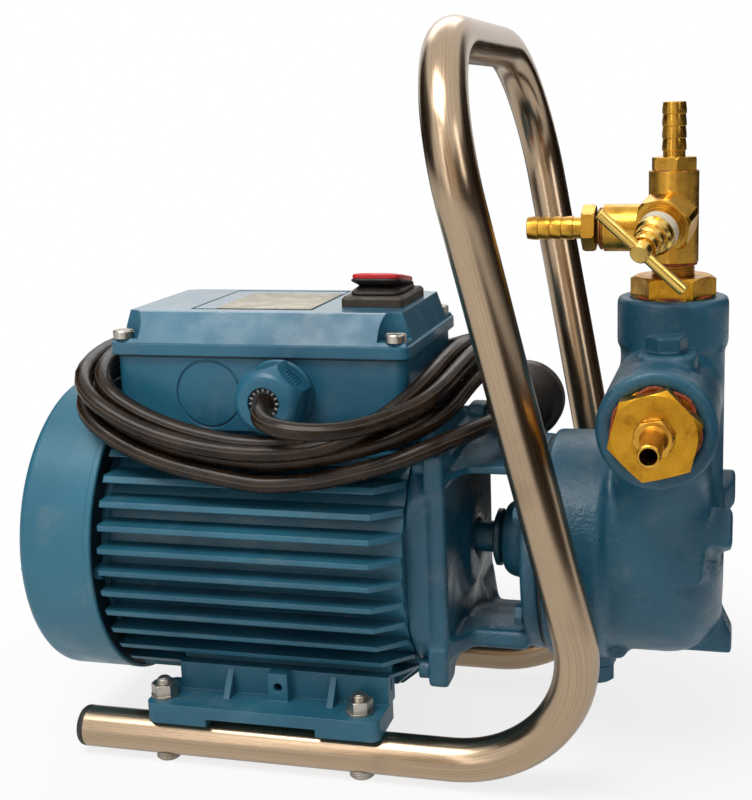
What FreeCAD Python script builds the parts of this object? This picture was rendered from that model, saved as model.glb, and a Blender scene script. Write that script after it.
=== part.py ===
# Portable close-coupled transfer pump: a finned single-phase motor, a self-priming pump end
# with brass fittings and a needle valve, and a bent stainless carrying frame.
# Units are millimetres. While it is modelled, x runs along the shaft towards the pump with 0
# at the middle of the foot bolts, y runs to the back, and z is 0 at the foot's underside.
import FreeCAD, Part
import math
import os

V = FreeCAD.Vector
X, Y, Z = V(1, 0, 0), V(0, 1, 0), V(0, 0, 1)

# Motor mounting
shaft_height = 71.0
foot_span_x = 90.0
foot_span_y = 112.0
running_gap = 0.05
seat_gap = 0.3
slip_gap = 0.1

# Carrying frame, bent from one tube
tube_d = 18.0
tube_wall = 1.5
skid_bend_r = 55.0
handle_bend_r = 54.0
skid_rear_x = -82.5
skid_corner_x = 151.0
leg_lean_back = 0.202
leg_splay = 0.175
handle_axis_z = 286.0
plug_head_t = 4.0
plug_depth = 12.0

# Foot fasteners
bolt_d = 6.0
bolt_hole_d = 6.8
bolt_head_d = 11.0
bolt_head_t = 2.2
washer_d = 12.0
washer_t = 1.2
nut_af = 10.0
nut_t = 5.0
bolt_stickout = 2.4

# Feet
foot_rear_x = -50.5
foot_front_x = 55.5
foot_outer_y = 65.0
foot_inner_y = 38.0
foot_t = 9.0
foot_recess = 3.5
foot_pad_x = 28.0
foot_wall_y = 48.0
foot_wall_t = 4.0
foot_rib_t = 3.0
foot_rib_x = (-18.0, 29.5)
foot_rib_reach = 9.0
foot_wall_inset = 10.0
foot_web_t = 5.0
foot_root_t = 4.0
foot_corner_r = 4.0
earth_boss_x = 7.0
earth_boss_w = 9.0
earth_boss_h = 5.0
earth_hole_d = 4.0

# Motor body
barrel_r = 57.0
barrel_wall = 4.0
barrel_rear_x = -67.0
barrel_front_x = 66.0
fin_reach = 10.5
fin_count = 11
lowest_fin_inset = 6.0
highest_fin_inset = 11.0
fin_tip_t = 2.0
fin_root_t = 3.2
fin_least_root = 20.0
fin_bevel_x = 11.5
fin_bevel_drop = 9.0
fin_rear_bevel = 0.8
under_fin_pitch = 10.0
under_fin_half_count = 3
pad_rear_x = -44.0
pad_front_x = 48.0
pad_half_y = 33.0
pad_opening = 30.0

# Rotating parts and windings
rotor_r = 29.7
air_gap = 0.4
stack_half = 30.0
winding_reach = 18.0
winding_t = 15.0
winding_soft = 4.0
slot_count = 24
slot_w = 4.0
slot_depth = 12.0
slot_lip = 2.0
core_shaft_r = 9.0
bearing_shaft_r = 7.5
drive_shaft_r = 7.0
fan_shaft_r = 6.0
bearing_r = 17.5
bearing_t = 11.0
bearing_groove_w = 4.0
bearing_groove_depth = 1.2
hub_wall = 5.0
shaft_clearance = 1.0
spigot_l = 4.0
spigot_t = 5.0

# Fan and cowl
cowl_r = 69.0
cowl_wall = 1.2
cowl_rear_x = -104.2
cowl_front_x = -69.0
cowl_corner_r = 4.0
grille_ring_count = 4
grille_inner_r = 14.0
grille_pitch = 11.0
grille_slot = 6.5
grille_spokes = 8
grille_spoke_w = 5.0
fan_r = 55.0
fan_hub_r = 12.0
fan_front_x = -73.0
fan_t = 17.0
fan_disc_t = 2.0
fan_blades = 8
fan_blade_t = 2.0
fan_notch_x = 5.0
fan_notch_r = 8.0
cowl_screw_head_r = 2.9
cowl_screw_head_t = 1.8
cowl_screw_turn = 4.0
cowl_screw_r = 1.7
cowl_screw_l = 14.0
cowl_screw_radius = 62.0
cowl_post_t = 6.0

# Rear end shield
rear_shield_t = 6.0

# Drive end shield
shield_ring_r = 59.0
shield_ring_x = 67.5
shield_plate_x = 74.0
shield_face_x = 82.8
shield_split_x = 78.2
shield_half_y = 51.0
shield_half_z = 47.0
shield_lug_half_z = 51.5
shield_lug_w = 15.0
shield_plate_half_y = 49.0
shield_lug_corner_r = 3.0
shield_lug_h = 18.5
shield_hub_r = 30.0
shield_hub_profile = ((85.3, 23.0), (89.8, 19.2))

# Terminal box and lid
box_rear_x = -65.7
box_front_x = 65.3
box_half_y = 41.4
box_mid_y = 2.6
box_sink = 2.0
box_wall = 2.5
box_corner_r = 5.0
gasket_t = 1.0
box_h = 33.0
lid_flange_t = 5.0
lid_lip = 2.2
lid_h = 17.8
lid_draft_x = 3.5
lid_draft_y = 8.6
lid_wall = 2.2
pocket_r = 7.5
lid_screw_inset = 5.4
lid_screw_inset_front = 6.8
lid_screw_head_r = 4.6
lid_screw_head_t = 3.6
lid_screw_seat = 1.6
lid_screw_r = 1.8
lid_screw_l = 14.0
lid_hole_r = 2.2
knockout_x = -22.7
knockout_rise = 16.1
knockout_r = 15.0
knockout_groove = 0.9
knockout_depth = 0.6

# Cable gland
gland_x = 10.0
gland_rise = 17.2
gland_hex_af = 26.8
gland_flange_r = 15.2
gland_flange_t = 2.5
gland_nut_r = 9.7
gland_nut_l = 18.0
gland_flats_l = 8.0
gland_mouth_r = 6.8
gland_thread_r = 10.5
gland_neck_in = 8.0
gland_spout_l = 6.0
gland_bore_gap = 3.5
gland_lip_t = 4.0
gland_seal_recess = 1.5
capacitor_r = 11.0
terminal_x = -36.0
terminal_y = 8.0
terminal_l = 34.0
terminal_w = 20.0
terminal_h = 14.0
terminal_pitch = 8.0
terminal_well_r = 2.2
terminal_well_depth = 6.0
cable_r = 3.75

# Rocker switch on the lid
switch_x = 44.9
switch_y = 3.0
switch_base_x = 27.9
switch_base_y = 38.0
switch_base_t = 4.5
rocker_x = 18.5
rocker_y = 26.0
rocker_tilt = 10.0
rocker_ridge = 6.5
rocker_height = 9.75
rocker_edge_t = 1.6
rocker_back = 1.5
rocker_pivot_drop = 2.2
trunnion_r = 1.6
boot_top = 3.7
boot_foot_t = 1.1
boot_half_x = 10.3
boot_half_y = 14.5
stem_half_x = 4.6
stem_half_y = 2.8
stem_swing = 1.9
trunnion_l = 2.5
switch_case_x = 19.0
switch_case_y = 29.0
switch_case_h = 16.0

# Lantern bracket between motor and pump
arm_half_y = 33.0
arm_edge_r = 2.0
arm_flare_l = 8.0
lantern_screw_inset = 6.5
lantern_screw_r = 2.5
lantern_screw_head_r = 4.2
lantern_screw_head_t = 4.5
lantern_screw_key = 4.0
lantern_thread_l = 3.8
arm_t = 4.0
arm_crown = 1.6
arm_mid_r = 42.0
low_arm_t = 8.5
low_arm_drop = 31.0
low_rib_half_y = 19.0
low_rib_h = 4.4
back_plate_x = 112.5
back_plate_t = 8.0
back_plate_r = 47.2
seal_bulb_r = 17.5
seal_bulb_x = 99.0
seal_bulb_bore_r = 10.0
seal_bulb_round = 0.55
seal_bulb_nose = 5.0
seal_seat_t = 7.0
flinger_r = 12.7
flinger_t = 4.2

# Pump casing
casing_flange_r = 49.4
casing_step_x = 153.5
barrel_pump_r = 44.9
casing_front_x = 193.5
casing_nose_r = 22.0
casing_bore_r = 37.5
casing_wall = 7.0
front_chamber_r = 31.5
gasket_pump_t = 0.8
impeller_r = 36.0
impeller_t = 14.0
impeller_vanes = 18
impeller_hub_r = 13.0
impeller_nut_af = 17.0
impeller_nut_t = 7.0
impeller_gap = 5.0
impeller_side_gap = 3.0
vane_t = 2.0
column_x = 171.4
neck_r = 21.6
collar_r = 23.0
collar_l = 21.3
neck_rise = 109.8
suction_rise = 68.9
suction_x = 169.8
suction_face_y = -71.6
port_bore_r = 16.6
port_depth = 14.0
passage_r = 9.0
elbow_r = 19.5
elbow_y = -34.0
nose_lug_r = 45.0
nose_lug_w = 15.5
nose_lug_x = 197.8
nose_lug_face_h = 8.0
nose_lug_slope_h = 10.0
nose_lug_angles = (0, 114, 240)
filler_y = -42.0
filler_x = 171.6
filler_rise = 24.9
filler_pad = (161.0, 183.3, -53.0, -28.0)
filler_pad_corner = 5.0
filler_af = 14.0
plug_head_h = 5.5
plug_collar_t = 0.8
plug_collar_lip = 1.0
plug_thread_l = 9.0
drain_head_h = 7.0
drain_x = 139.0
drain_drop = 6.3
drain_boss_r = 9.0
casing_screw_angles = (-32, 32, 148, 212)
casing_screw_inset = 6.0
casing_screw_r = 2.5
casing_screw_af = 8.0
casing_screw_head_t = 3.5
casing_thread_l = 9.0

# Brass fittings
bushing_af = 31.5
discharge_af = 30.5
bushing_t = 8.5
fitting_bore_r = 3.2
hose_r = 4.9
tail_hex_af = 17.0
tail_hex_t = 5.5
suction_hex_af = 13.5
suction_hex_t = 3.5
suction_spigot_r = 4.25
suction_tail_end_y = -106.5
nipple_r = 8.6
nipple_engage = 8.0
top_thread_l = 6.0
tee_r = 10.2
tee_rise = 14.2
tee_l = 37.3
branch_rise = 14.0
branch_r = 9.8
branch_end_x = 143.0
branch_thread_l = 3.5
branch_bore_l = 11.0
side_tail_end_x = 110.5
top_tail_l = 27.7
barb_pitch = 4.9
barb_step = 0.7

# Needle valve with its spindle leaning forwards
valve_rise = 20.2
valve_lean = V(-0.289, -0.892, -0.347)
valve_hex_af = 22.5
valve_hex_end = 13.5
valve_shoulder_r = 9.3
valve_shoulder_end = 15.0
valve_neck_r = 8.0
valve_neck_end = 25.0
bonnet_af = 12.0
bonnet_end = 29.0
bonnet_nose_end = 33.0
spindle_r = 3.6
hub_r = 4.1
hub_start = 34.0
hub_end = 39.0
t_bar_r = 2.3
t_bar_l = 45.5
t_bar_angle = -40.0
needle_r = 2.6
needle_top = 6.0
needle_l = 5.0
bonnet_shank_l = 6.0

# Mains cord and plug
plug_r = 18.1
plug_x = 101.2
plug_y = 43.3
plug_drop = 1.4
plug_body_t = 9.0
plug_dome_t = 7.0
plug_neck_r = 6.5
plug_neck_l = 6.0
pin_r = 2.4
pin_l = 19.0
pin_span = 19.0
coil_r = 10.6
# Corners of the cord's routes, each as x, y and the rise above the box's underside
coil_corners = ((3, -61.5, -9.5), (45, -60, -2), (76, -47, 14), (81, 0, 25), (80, 53, 20), (43, 64, 8),
                (-2, 64, 2), (-42, 65, 7), (-77, 56, 18), (-81, 0, 27), (-77, -50, 18), (-44, -60, 0))
lead_corners = ((10.6, -67, 16), (15, -74.5, 13.3), (26, -79, 11.6), (41, -78, 10.8),
                (53, -72.5, 11.4), (64, -61, 12.6))
tail_corners = ((16, -59.5, -15.3), (34, -60, -12.3), (51, -58.6, -7.8), (67.4, -58, -3.6),
                (81, -52.4, 0.8), (91.4, -42, 3.4), (97, -28.4, 3.8), (98.4, -13, 2), (100.2, 3, 0.4))

# Derived places shared by several pieces
tube_r = tube_d / 2
skid_y = foot_span_y / 2
skid_z = -tube_r
shaft_axis = V(0, 0, shaft_height)
top_bar_y = skid_y + leg_splay * (handle_axis_z - skid_z)
top_bar_x = skid_corner_x - leg_lean_back * (handle_axis_z - skid_z)
bore_r = barrel_r - barrel_wall
fin_tip_r = barrel_r + fin_reach
lowest_fin_drop = barrel_r - lowest_fin_inset
fin_pitch = (lowest_fin_drop + barrel_r - highest_fin_inset) / (fin_count - 1)
box_bottom_z = shaft_height + barrel_r - box_sink
lid_flange_z = box_bottom_z + box_h
lid_top_z = lid_flange_z + lid_h
knockout_z = box_bottom_z + knockout_rise
gland_z = box_bottom_z + gland_rise
low_arm_top = shaft_height - low_arm_drop
collar_top_z = shaft_height + neck_rise
collar_bottom_z = collar_top_z - collar_l
suction_z = shaft_height + suction_rise
filler_boss_top_z = suction_z + filler_rise
tee_bottom_z = collar_top_z + tee_rise
tee_top_z = tee_bottom_z + tee_l
branch_z = tee_bottom_z + branch_rise
top_tail_end_z = tee_top_z + top_tail_l
valve_z = tee_bottom_z + valve_rise
box_y0 = box_mid_y - box_half_y
box_y1 = box_mid_y + box_half_y
lid_x0 = box_rear_x - lid_lip
lid_x1 = box_front_x + lid_lip
lid_y0 = box_y0 - lid_lip
lid_y1 = box_y1 + lid_lip
drain_z = shaft_height - casing_flange_r - drain_drop
run_bore_r = fitting_bore_r + 2
valve_axis = V(valve_lean).normalize()
valve_base = V(column_x, 0, valve_z)
plug_z = box_bottom_z - plug_drop

CORD_NODES = ("cord_lead", "cord_coil", "cord_tail", "mains_plug")


def cylinder(r, length, base, axis=Z):
    return Part.makeCylinder(r, length, base, axis)


def ring(r_out, r_in, length, base, axis=Z):
    return cylinder(r_out, length, base, axis).cut(cylinder(r_in, length, base, axis))


def block(x0, x1, y0, y1, z0, z1):
    return Part.makeBox(x1 - x0, y1 - y0, z1 - z0, V(x0, y0, z0))


def fuse(shapes):
    shapes = list(shapes)
    if len(shapes) == 1:
        return shapes[0]
    return shapes[0].multiFuse(shapes[1:]).removeSplitter()


def group(shapes):
    return Part.makeCompound(list(shapes))


def mirror_y(shape):
    return shape.mirror(V(0, 0, 0), Y)


def side_axes(axis):
    """Two directions square to an axis; the first is as near to +X as it can be."""
    across = X - axis * X.dot(axis)
    if across.Length < 0.1:
        across = Y - axis * Y.dot(axis)
    across.normalize()
    return across, axis.cross(across)


def prism(points, base, axis, length):
    """A polygon given in the plane square to the axis, extruded along it."""
    across, up = side_axes(axis)
    wire = Part.makePolygon([base + across * a + up * b for a, b in points + points[:1]])
    return Part.Face(wire).extrude(axis * length)


def hexagon(af, length, base, axis=Z, corner_deg=0.0):
    """A hexagonal prism with its outer corners taken off by a cone, as turned nuts have."""
    corner_r = af / math.sqrt(3)
    points = []
    for k in range(6):
        a = math.radians(corner_deg + 60 * k)
        points.append((corner_r * math.cos(a), corner_r * math.sin(a)))
    body = prism(points, base, axis, length)
    drop = (corner_r - af / 2) * math.tan(math.radians(30))
    cap = turned([(0, 0), (0, corner_r), (length - drop, corner_r), (length, af / 2), (length, 0)],
                 base, axis)
    return body.common(cap)


def turned(profile, base, axis):
    """A solid of revolution. The profile is a list of (distance along the axis, radius)."""
    across, _ = side_axes(axis)
    wire = Part.makePolygon([base + axis * a + across * r for a, r in profile + profile[:1]])
    return Part.Face(wire).revolve(base, axis, 360)


def on_shaft(profile):
    """A solid of revolution about the shaft. The profile is a list of (x, radius)."""
    return turned(profile, shaft_axis, X)


def shaft_ring(x0, x1, r_out, r_in):
    return on_shaft([(x0, r_in), (x0, r_out), (x1, r_out), (x1, r_in)])


def rounded_block(x0, x1, y0, y1, z0, z1, r):
    """A box whose upright edges are rounded."""
    body = block(x0, x1, y0, y1, z0, z1)
    upright = [e for e in body.Edges if abs(e.Vertexes[0].Z - e.Vertexes[-1].Z) > (z1 - z0) / 2]
    return body.makeFillet(r, upright)


def corner_arcs(points, radii, closed=False):
    """For each corner of a route: where its arc starts and ends, its centre, axis and turn."""
    count = len(points)
    corners = range(count) if closed else range(1, count - 1)
    arcs = {}
    for i in corners:
        before, here, after = points[i - 1], points[i], points[(i + 1) % count]
        a = V(here - before).normalize()
        b = V(after - here).normalize()
        turn = math.acos(max(-1.0, min(1.0, a.dot(b))))
        reach = radii[i] * math.tan(turn / 2)
        axis = a.cross(b).normalize()
        start = here - a * reach
        centre = start + axis.cross(a) * radii[i]
        arcs[i] = (start, here + b * reach, centre, axis, turn, a)
    return arcs


def tube_along(points, radii, r, closed=False):
    """A round bar along straight runs joined by tangent arcs."""
    arcs = corner_arcs(points, radii, closed)
    solids = []
    count = len(points)
    for i in range(count if closed else count - 1):
        j = (i + 1) % count
        start = arcs[i][1] if i in arcs else points[i]
        end = arcs[j][0] if j in arcs else points[j]
        run = end - start
        solids.append(cylinder(r, run.Length, start, V(run).normalize()))
    for start, _, centre, axis, turn, heading in arcs.values():
        disc = Part.Face(Part.Wire(Part.makeCircle(r, start, heading)))
        solids.append(disc.revolve(centre, axis, math.degrees(turn)))
    return fuse(solids)


def easy_radii(points, closed=False):
    """Arc radii as large as the runs beside each corner allow."""
    count = len(points)
    radii = [0.0] * count
    for i in range(count) if closed else range(1, count - 1):
        before = points[i] - points[i - 1]
        after = points[(i + 1) % count] - points[i]
        turn = before.getAngle(after)
        radii[i] = 0.45 * min(before.Length, after.Length) / math.tan(turn / 2)
    return radii


def frame_route():
    near_top = V(top_bar_x, -top_bar_y, handle_axis_z)
    near = [V(skid_rear_x, -skid_y, skid_z), V(skid_corner_x, -skid_y, skid_z), near_top]
    return near + [V(p.x, -p.y, p.z) for p in reversed(near)]


def foot_bolt_places():
    return [V(sx * foot_span_x / 2, sy * skid_y, 0) for sx in (-1, 1) for sy in (-1, 1)]


def tube_frame():
    route = frame_route()
    radii = [0, skid_bend_r, handle_bend_r, handle_bend_r, skid_bend_r, 0]
    frame = tube_along(route, radii, tube_r).cut(tube_along(route, radii, tube_r - tube_wall))
    holes = [cylinder(bolt_hole_d / 2, tube_d + 2, p - Z * (tube_d + 1)) for p in foot_bolt_places()]
    return frame.cut(holes)


def tube_end_plugs():
    """The plugs in the open tube ends: a domed head on a shank that grips the bore."""
    inner = tube_r - tube_wall - slip_gap
    steps = 4
    head = [(0, 0), (0, tube_r), (plug_head_t * 0.3, tube_r)]
    for k in range(1, steps + 1):
        a = math.radians(90 * k / steps)
        head.append((plug_head_t * (0.3 + 0.7 * math.sin(a)), tube_r - plug_head_t * 0.9 * (1 - math.cos(a))))
    head.append((plug_head_t, 0))
    plugs = []
    for side in (-1, 1):
        base = V(skid_rear_x, side * skid_y, skid_z)
        plugs.append(fuse([turned(head, base, -X), cylinder(inner, plug_depth, base, X)]))
    return group(plugs)


def foot_stack_top():
    return foot_t + washer_t + nut_t + bolt_stickout


def foot_bolts():
    bolts = []
    bottom = -tube_d - bolt_head_t
    edge = 0.8
    r = bolt_head_d / 2
    length = foot_stack_top() - bottom
    for place in foot_bolt_places():
        base = place + Z * bottom
        head = turned([(0, 0), (0, r - edge), (edge, r), (bolt_head_t + 2, r), (bolt_head_t + 2, 0)], base, Z)
        head = head.cut(cylinder(tube_r, 4 * bolt_head_d, V(place.x - 2 * bolt_head_d, place.y, skid_z), X))
        shank = turned([(edge, 0), (edge, bolt_d / 2), (length - edge, bolt_d / 2),
                        (length, bolt_d / 2 - edge), (length, 0)], base, Z)
        bolts.append(fuse([head, shank]))
    return group(bolts)


def foot_washers():
    return group(ring(washer_d / 2, bolt_hole_d / 2, washer_t, p + Z * foot_t) for p in foot_bolt_places())


def foot_nuts():
    nuts = []
    for place in foot_bolt_places():
        base = place + Z * (foot_t + washer_t)
        nuts.append(hexagon(nut_af, nut_t, base, Z, 20).cut(cylinder(bolt_d / 2 + running_gap, nut_t, base)))
    return group(nuts)


def motor_foot():
    """The near foot: a plate on two pads, an upright wall with ribs, and an earth boss."""
    plate = rounded_block(foot_rear_x, foot_front_x, -foot_outer_y, -foot_inner_y, 0, foot_t, foot_corner_r)
    recess = block(foot_rear_x + foot_pad_x, foot_front_x - foot_pad_x, -foot_outer_y - 1, -foot_inner_y + 1,
                   -1, foot_recess)
    lowest_fin_z = shaft_height - lowest_fin_drop
    wall_top = lowest_fin_z + fin_root_t / 2
    wall_x0 = foot_rear_x + foot_wall_inset
    low = foot_t - 1
    wall = block(wall_x0, foot_front_x, -foot_wall_y, -foot_wall_y + foot_wall_t, low, wall_top)
    web = block(wall_x0, foot_front_x, -foot_wall_y, -foot_inner_y, low, foot_t + foot_web_t)
    root_top = shaft_height - math.sqrt(barrel_r ** 2 - foot_inner_y ** 2) + 1
    root_wall = block(wall_x0, foot_front_x, -foot_inner_y - foot_root_t, -foot_inner_y, low, root_top)
    pieces = [plate.cut(recess), wall, web, root_wall]
    root = -foot_wall_y + 1
    for x in foot_rib_x:
        corners = [V(x, root, low), V(x, root - foot_rib_reach, low), V(x, root, wall_top), V(x, root, low)]
        pieces.append(Part.Face(Part.makePolygon(corners)).extrude(X * foot_rib_t))
    pieces.append(block(earth_boss_x - earth_boss_w / 2, earth_boss_x + earth_boss_w / 2,
                        -foot_wall_y - earth_boss_h, root, low, wall_top))
    earth = cylinder(earth_hole_d / 2, earth_boss_h + 3, V(earth_boss_x, -foot_wall_y - earth_boss_h - 1,
                                                          (foot_t + wall_top) / 2), Y)
    holes = [cylinder(bolt_hole_d / 2, foot_t + 2, p - Z) for p in foot_bolt_places() if p.y < 0]
    return fuse(pieces).cut(holes + [earth])


def side_fin(z, side):
    """One cooling fin: a tapered blade that runs the length of the motor."""
    level = z - shaft_height
    root = math.sqrt(max(bore_r ** 2 - level ** 2, fin_least_root ** 2))
    tip = fin_tip_r + 2
    rows = [(root, -fin_root_t / 2), (tip, -fin_tip_t / 2), (tip, fin_tip_t / 2), (root, fin_root_t / 2)]
    points = [V(barrel_rear_x, side * y, z + dz) for y, dz in rows]
    return Part.Face(Part.makePolygon(points + points[:1])).extrude(X * (barrel_front_x - barrel_rear_x))


def under_fin(y):
    """One cooling fin below the motor, upright between the feet."""
    top = shaft_height - math.sqrt(bore_r ** 2 - y ** 2)
    bottom = shaft_height - fin_tip_r - 2
    points = [V(barrel_rear_x, y - fin_root_t / 2, top), V(barrel_rear_x, y - fin_tip_t / 2, bottom),
              V(barrel_rear_x, y + fin_tip_t / 2, bottom), V(barrel_rear_x, y + fin_root_t / 2, top)]
    return Part.Face(Part.makePolygon(points + points[:1])).extrude(X * (barrel_front_x - barrel_rear_x))


def motor_housing():
    envelope = on_shaft([(barrel_rear_x, 0), (barrel_rear_x, fin_tip_r - fin_rear_bevel),
                         (barrel_rear_x + fin_rear_bevel, fin_tip_r),
                         (barrel_front_x - fin_bevel_x, fin_tip_r),
                         (barrel_front_x, fin_tip_r - fin_bevel_drop), (barrel_front_x, 0)])
    fins = []
    for i in range(fin_count):
        z = shaft_height - lowest_fin_drop + i * fin_pitch
        fins += [side_fin(z, -1), side_fin(z, 1)]
    for k in range(-under_fin_half_count, under_fin_half_count + 1):
        fins.append(under_fin(k * under_fin_pitch))
    barrel = shaft_ring(barrel_rear_x, barrel_front_x, barrel_r, bore_r - 1)
    pad = block(pad_rear_x, pad_front_x, -pad_half_y, pad_half_y, shaft_height + bore_r - 13, box_bottom_z)
    near = motor_foot()
    body = fuse([barrel, pad, near, mirror_y(near)] + [fin.common(envelope) for fin in fins])
    bore = cylinder(bore_r, barrel_front_x - barrel_rear_x + 2, shaft_axis + X * (barrel_rear_x - 1), X)
    half = pad_opening / 2
    wires = block(-half, half, -half, half, shaft_height, box_bottom_z + 1)
    flat = block(barrel_rear_x - 1, barrel_front_x + 1, -barrel_r, barrel_r,
                 box_bottom_z, box_bottom_z + barrel_r)
    return body.cut([bore, wires, flat])


def around_shaft(shape, count, start=0.0):
    """Copies of a piece, evenly spaced about the shaft."""
    return [shape.rotated(shaft_axis, X, start + 360 * k / count) for k in range(count)]


def stator_core():
    inner = rotor_r + air_gap
    core = shaft_ring(-stack_half, stack_half, bore_r, inner)
    slot = block(-stack_half - 1, stack_half + 1, -slot_w / 2, slot_w / 2,
                 inner + slot_lip, inner + slot_depth)
    slot.translate(shaft_axis)
    return core.cut(around_shaft(slot, slot_count))


def stator_windings():
    """The two end turns of the winding, one on each end of the core."""
    inner = rotor_r + air_gap + slot_lip
    outer = inner + winding_t
    soft = winding_soft
    turn = [(0, inner), (0, outer), (winding_reach - soft, outer), (winding_reach, outer - soft),
            (winding_reach, inner + soft), (winding_reach - soft, inner)]
    return group(turned(turn, shaft_axis + X * side * stack_half, X * side) for side in (-1, 1))


def motor_shaft():
    """The motor shaft, stepped for fan, bearings, rotor core and impeller."""
    rear, front = rear_bearing_x(), front_bearing_x()
    back = impeller_x() + impeller_t
    steps = [(fan_front_x - fan_t - 2, fan_shaft_r), (rear - 1, bearing_shaft_r),
             (rear + bearing_t + 2, core_shaft_r), (front - 2, bearing_shaft_r),
             (front + bearing_t + 2, drive_shaft_r), (back + impeller_nut_t + 1, drive_shaft_r)]
    profile = [(steps[0][0], 0)]
    for (x, r), (x_next, _) in zip(steps, steps[1:]):
        profile += [(x, r), (x_next, r)]
    return on_shaft(profile + [(steps[-1][0], 0)])


def rotor_core():
    return shaft_ring(-stack_half, stack_half, rotor_r, core_shaft_r)


def bearing(x0):
    """A ball bearing drawn closed, as one ring with a groove between its races."""
    mid = (bearing_shaft_r + bearing_r) / 2
    half = bearing_groove_w / 2
    body = shaft_ring(x0, x0 + bearing_t, bearing_r, bearing_shaft_r + running_gap)
    faces = [shaft_ring(x0 - 1, x0 + bearing_groove_depth, mid + half, mid - half),
             shaft_ring(x0 + bearing_t - bearing_groove_depth, x0 + bearing_t + 1, mid + half, mid - half)]
    return body.cut(faces)


def rear_bearing_x():
    return barrel_rear_x


def front_bearing_x():
    return shield_ring_x - 1.5


def rear_end_shield():
    """The closed end of the motor, with the bearing seat and the four posts for the cowl."""
    x0, x1 = barrel_rear_x - rear_shield_t, barrel_rear_x
    clear_r = bearing_shaft_r + shaft_clearance
    disc = shaft_ring(x0, x1, barrel_r, clear_r)
    spigot = shaft_ring(x1 - 0.5, x1 + spigot_l, bore_r - slip_gap, bore_r - spigot_t)
    hub = shaft_ring(x1 - 0.5, x1 + bearing_t + 2, bearing_r + hub_wall, bearing_r)
    posts, holes = [], []
    half = cowl_post_t / 2
    web = block(x0, x1, barrel_r - 4, cowl_screw_radius, -half, half)
    web.translate(shaft_axis)
    for k, p in enumerate(cowl_screw_points()):
        start = p + X * cowl_wall
        posts.append(cylinder(half, x1 - start.x, start, X))
        posts.append(web.rotated(shaft_axis, X, 90 * k + cowl_screw_turn))
        holes.append(cylinder(cowl_screw_r, cowl_screw_l, start - X, X))
    return fuse([disc, spigot, hub] + posts).cut(holes)


def shield_hub(grow):
    """The hub that centres the lantern's flange and tapers towards the pump."""
    r = shield_hub_r + grow
    profile = [(barrel_front_x, 0), (barrel_front_x, r), (shield_face_x, r)]
    profile += [(x + grow, r + grow) for x, r in shield_hub_profile]
    return on_shaft(profile + [(profile[-1][0], 0)])


def drive_end_shield():
    """The pump end of the motor: a round ring, the first half of the flange and a conical hub."""
    edge = 2.5
    x0 = barrel_front_x
    seat_end = front_bearing_x() + bearing_t
    well_r = bearing_r + hub_wall
    drum = on_shaft([(x0, 0), (x0, shield_ring_r - edge), (x0 + edge, shield_ring_r),
                     (shield_plate_x + 1, shield_ring_r), (shield_plate_x + 1, 0)])
    seat = shaft_ring(x0 - 4, x0 + 1, well_r, bearing_r)
    spigot = shaft_ring(x0 - spigot_l, x0 + 0.5, bore_r - slip_gap, bore_r - spigot_t)
    body = fuse([drum, square_flange(shield_plate_x, shield_split_x), shield_hub(0), seat, spigot])
    cuts = [shaft_ring(x0 - 5, seat_end, bearing_r, 0),
            shaft_ring(seat_end - 1, shield_hub_profile[-1][0] + 1, bearing_shaft_r + shaft_clearance, 0)]
    for p in lantern_screw_places():
        cuts.append(cylinder(lantern_screw_r + slip_gap, shield_split_x - shield_plate_x + 2, p - X, X))
    return body.cut(cuts)


def cooling_fan():
    x0 = fan_front_x - fan_t
    hub = shaft_ring(x0, fan_front_x, fan_hub_r, fan_shaft_r)
    disc = shaft_ring(fan_front_x - fan_disc_t, fan_front_x, fan_r, fan_shaft_r)
    blade = block(x0, fan_front_x - fan_disc_t / 2, -fan_blade_t / 2, fan_blade_t / 2, fan_hub_r - 1, fan_r)
    corner = block(x0 - 1, x0 + fan_notch_x, -fan_blade_t, fan_blade_t, fan_r - fan_notch_r, fan_r + 1)
    blade = blade.cut(corner)
    blade.translate(shaft_axis)
    return fuse([hub, disc] + around_shaft(blade, fan_blades))


def fan_cowl():
    """A drawn cover with a slotted grille in its rear face."""
    c, w = cowl_corner_r, cowl_wall
    steps = 6
    outer, inner = [], []
    for k in range(steps + 1):
        a = math.radians(90 * k / steps)
        outer.append((cowl_rear_x + c - c * math.sin(a), cowl_r - c + c * math.cos(a)))
        inner.append((cowl_rear_x + c - (c - w) * math.sin(a), cowl_r - c + (c - w) * math.cos(a)))
    profile = [(cowl_front_x, cowl_r)] + outer + [(cowl_rear_x, 0), (cowl_rear_x + w, 0)] + inner[::-1]
    profile.append((cowl_front_x, cowl_r - w))
    shell = on_shaft(profile)
    slots = []
    for k in range(grille_ring_count):
        r = grille_inner_r + k * grille_pitch
        slots.append(shaft_ring(cowl_rear_x - 1, cowl_rear_x + w + 1, r + grille_slot, r))
    spoke = block(cowl_rear_x - 2, cowl_rear_x + w + 2, -grille_spoke_w / 2, grille_spoke_w / 2, 0, cowl_r)
    spoke.translate(shaft_axis)
    openings = group(slots).cut(around_shaft(spoke, grille_spokes))
    holes = [cylinder(cowl_screw_r + slip_gap, w + 2, p - X, X) for p in cowl_screw_points()]
    return shell.cut(openings).cut(holes)


def cowl_screws():
    r, t = cowl_screw_head_r, cowl_screw_head_t
    head = [(0, 0), (0, r), (-t * 0.5, r), (-t, r * 0.6), (-t, 0)]
    screws = []
    for p in cowl_screw_points():
        screws.append(fuse([turned(head, p, X), cylinder(cowl_screw_r, cowl_screw_l - 1, p, X)]))
    return group(screws)


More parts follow.
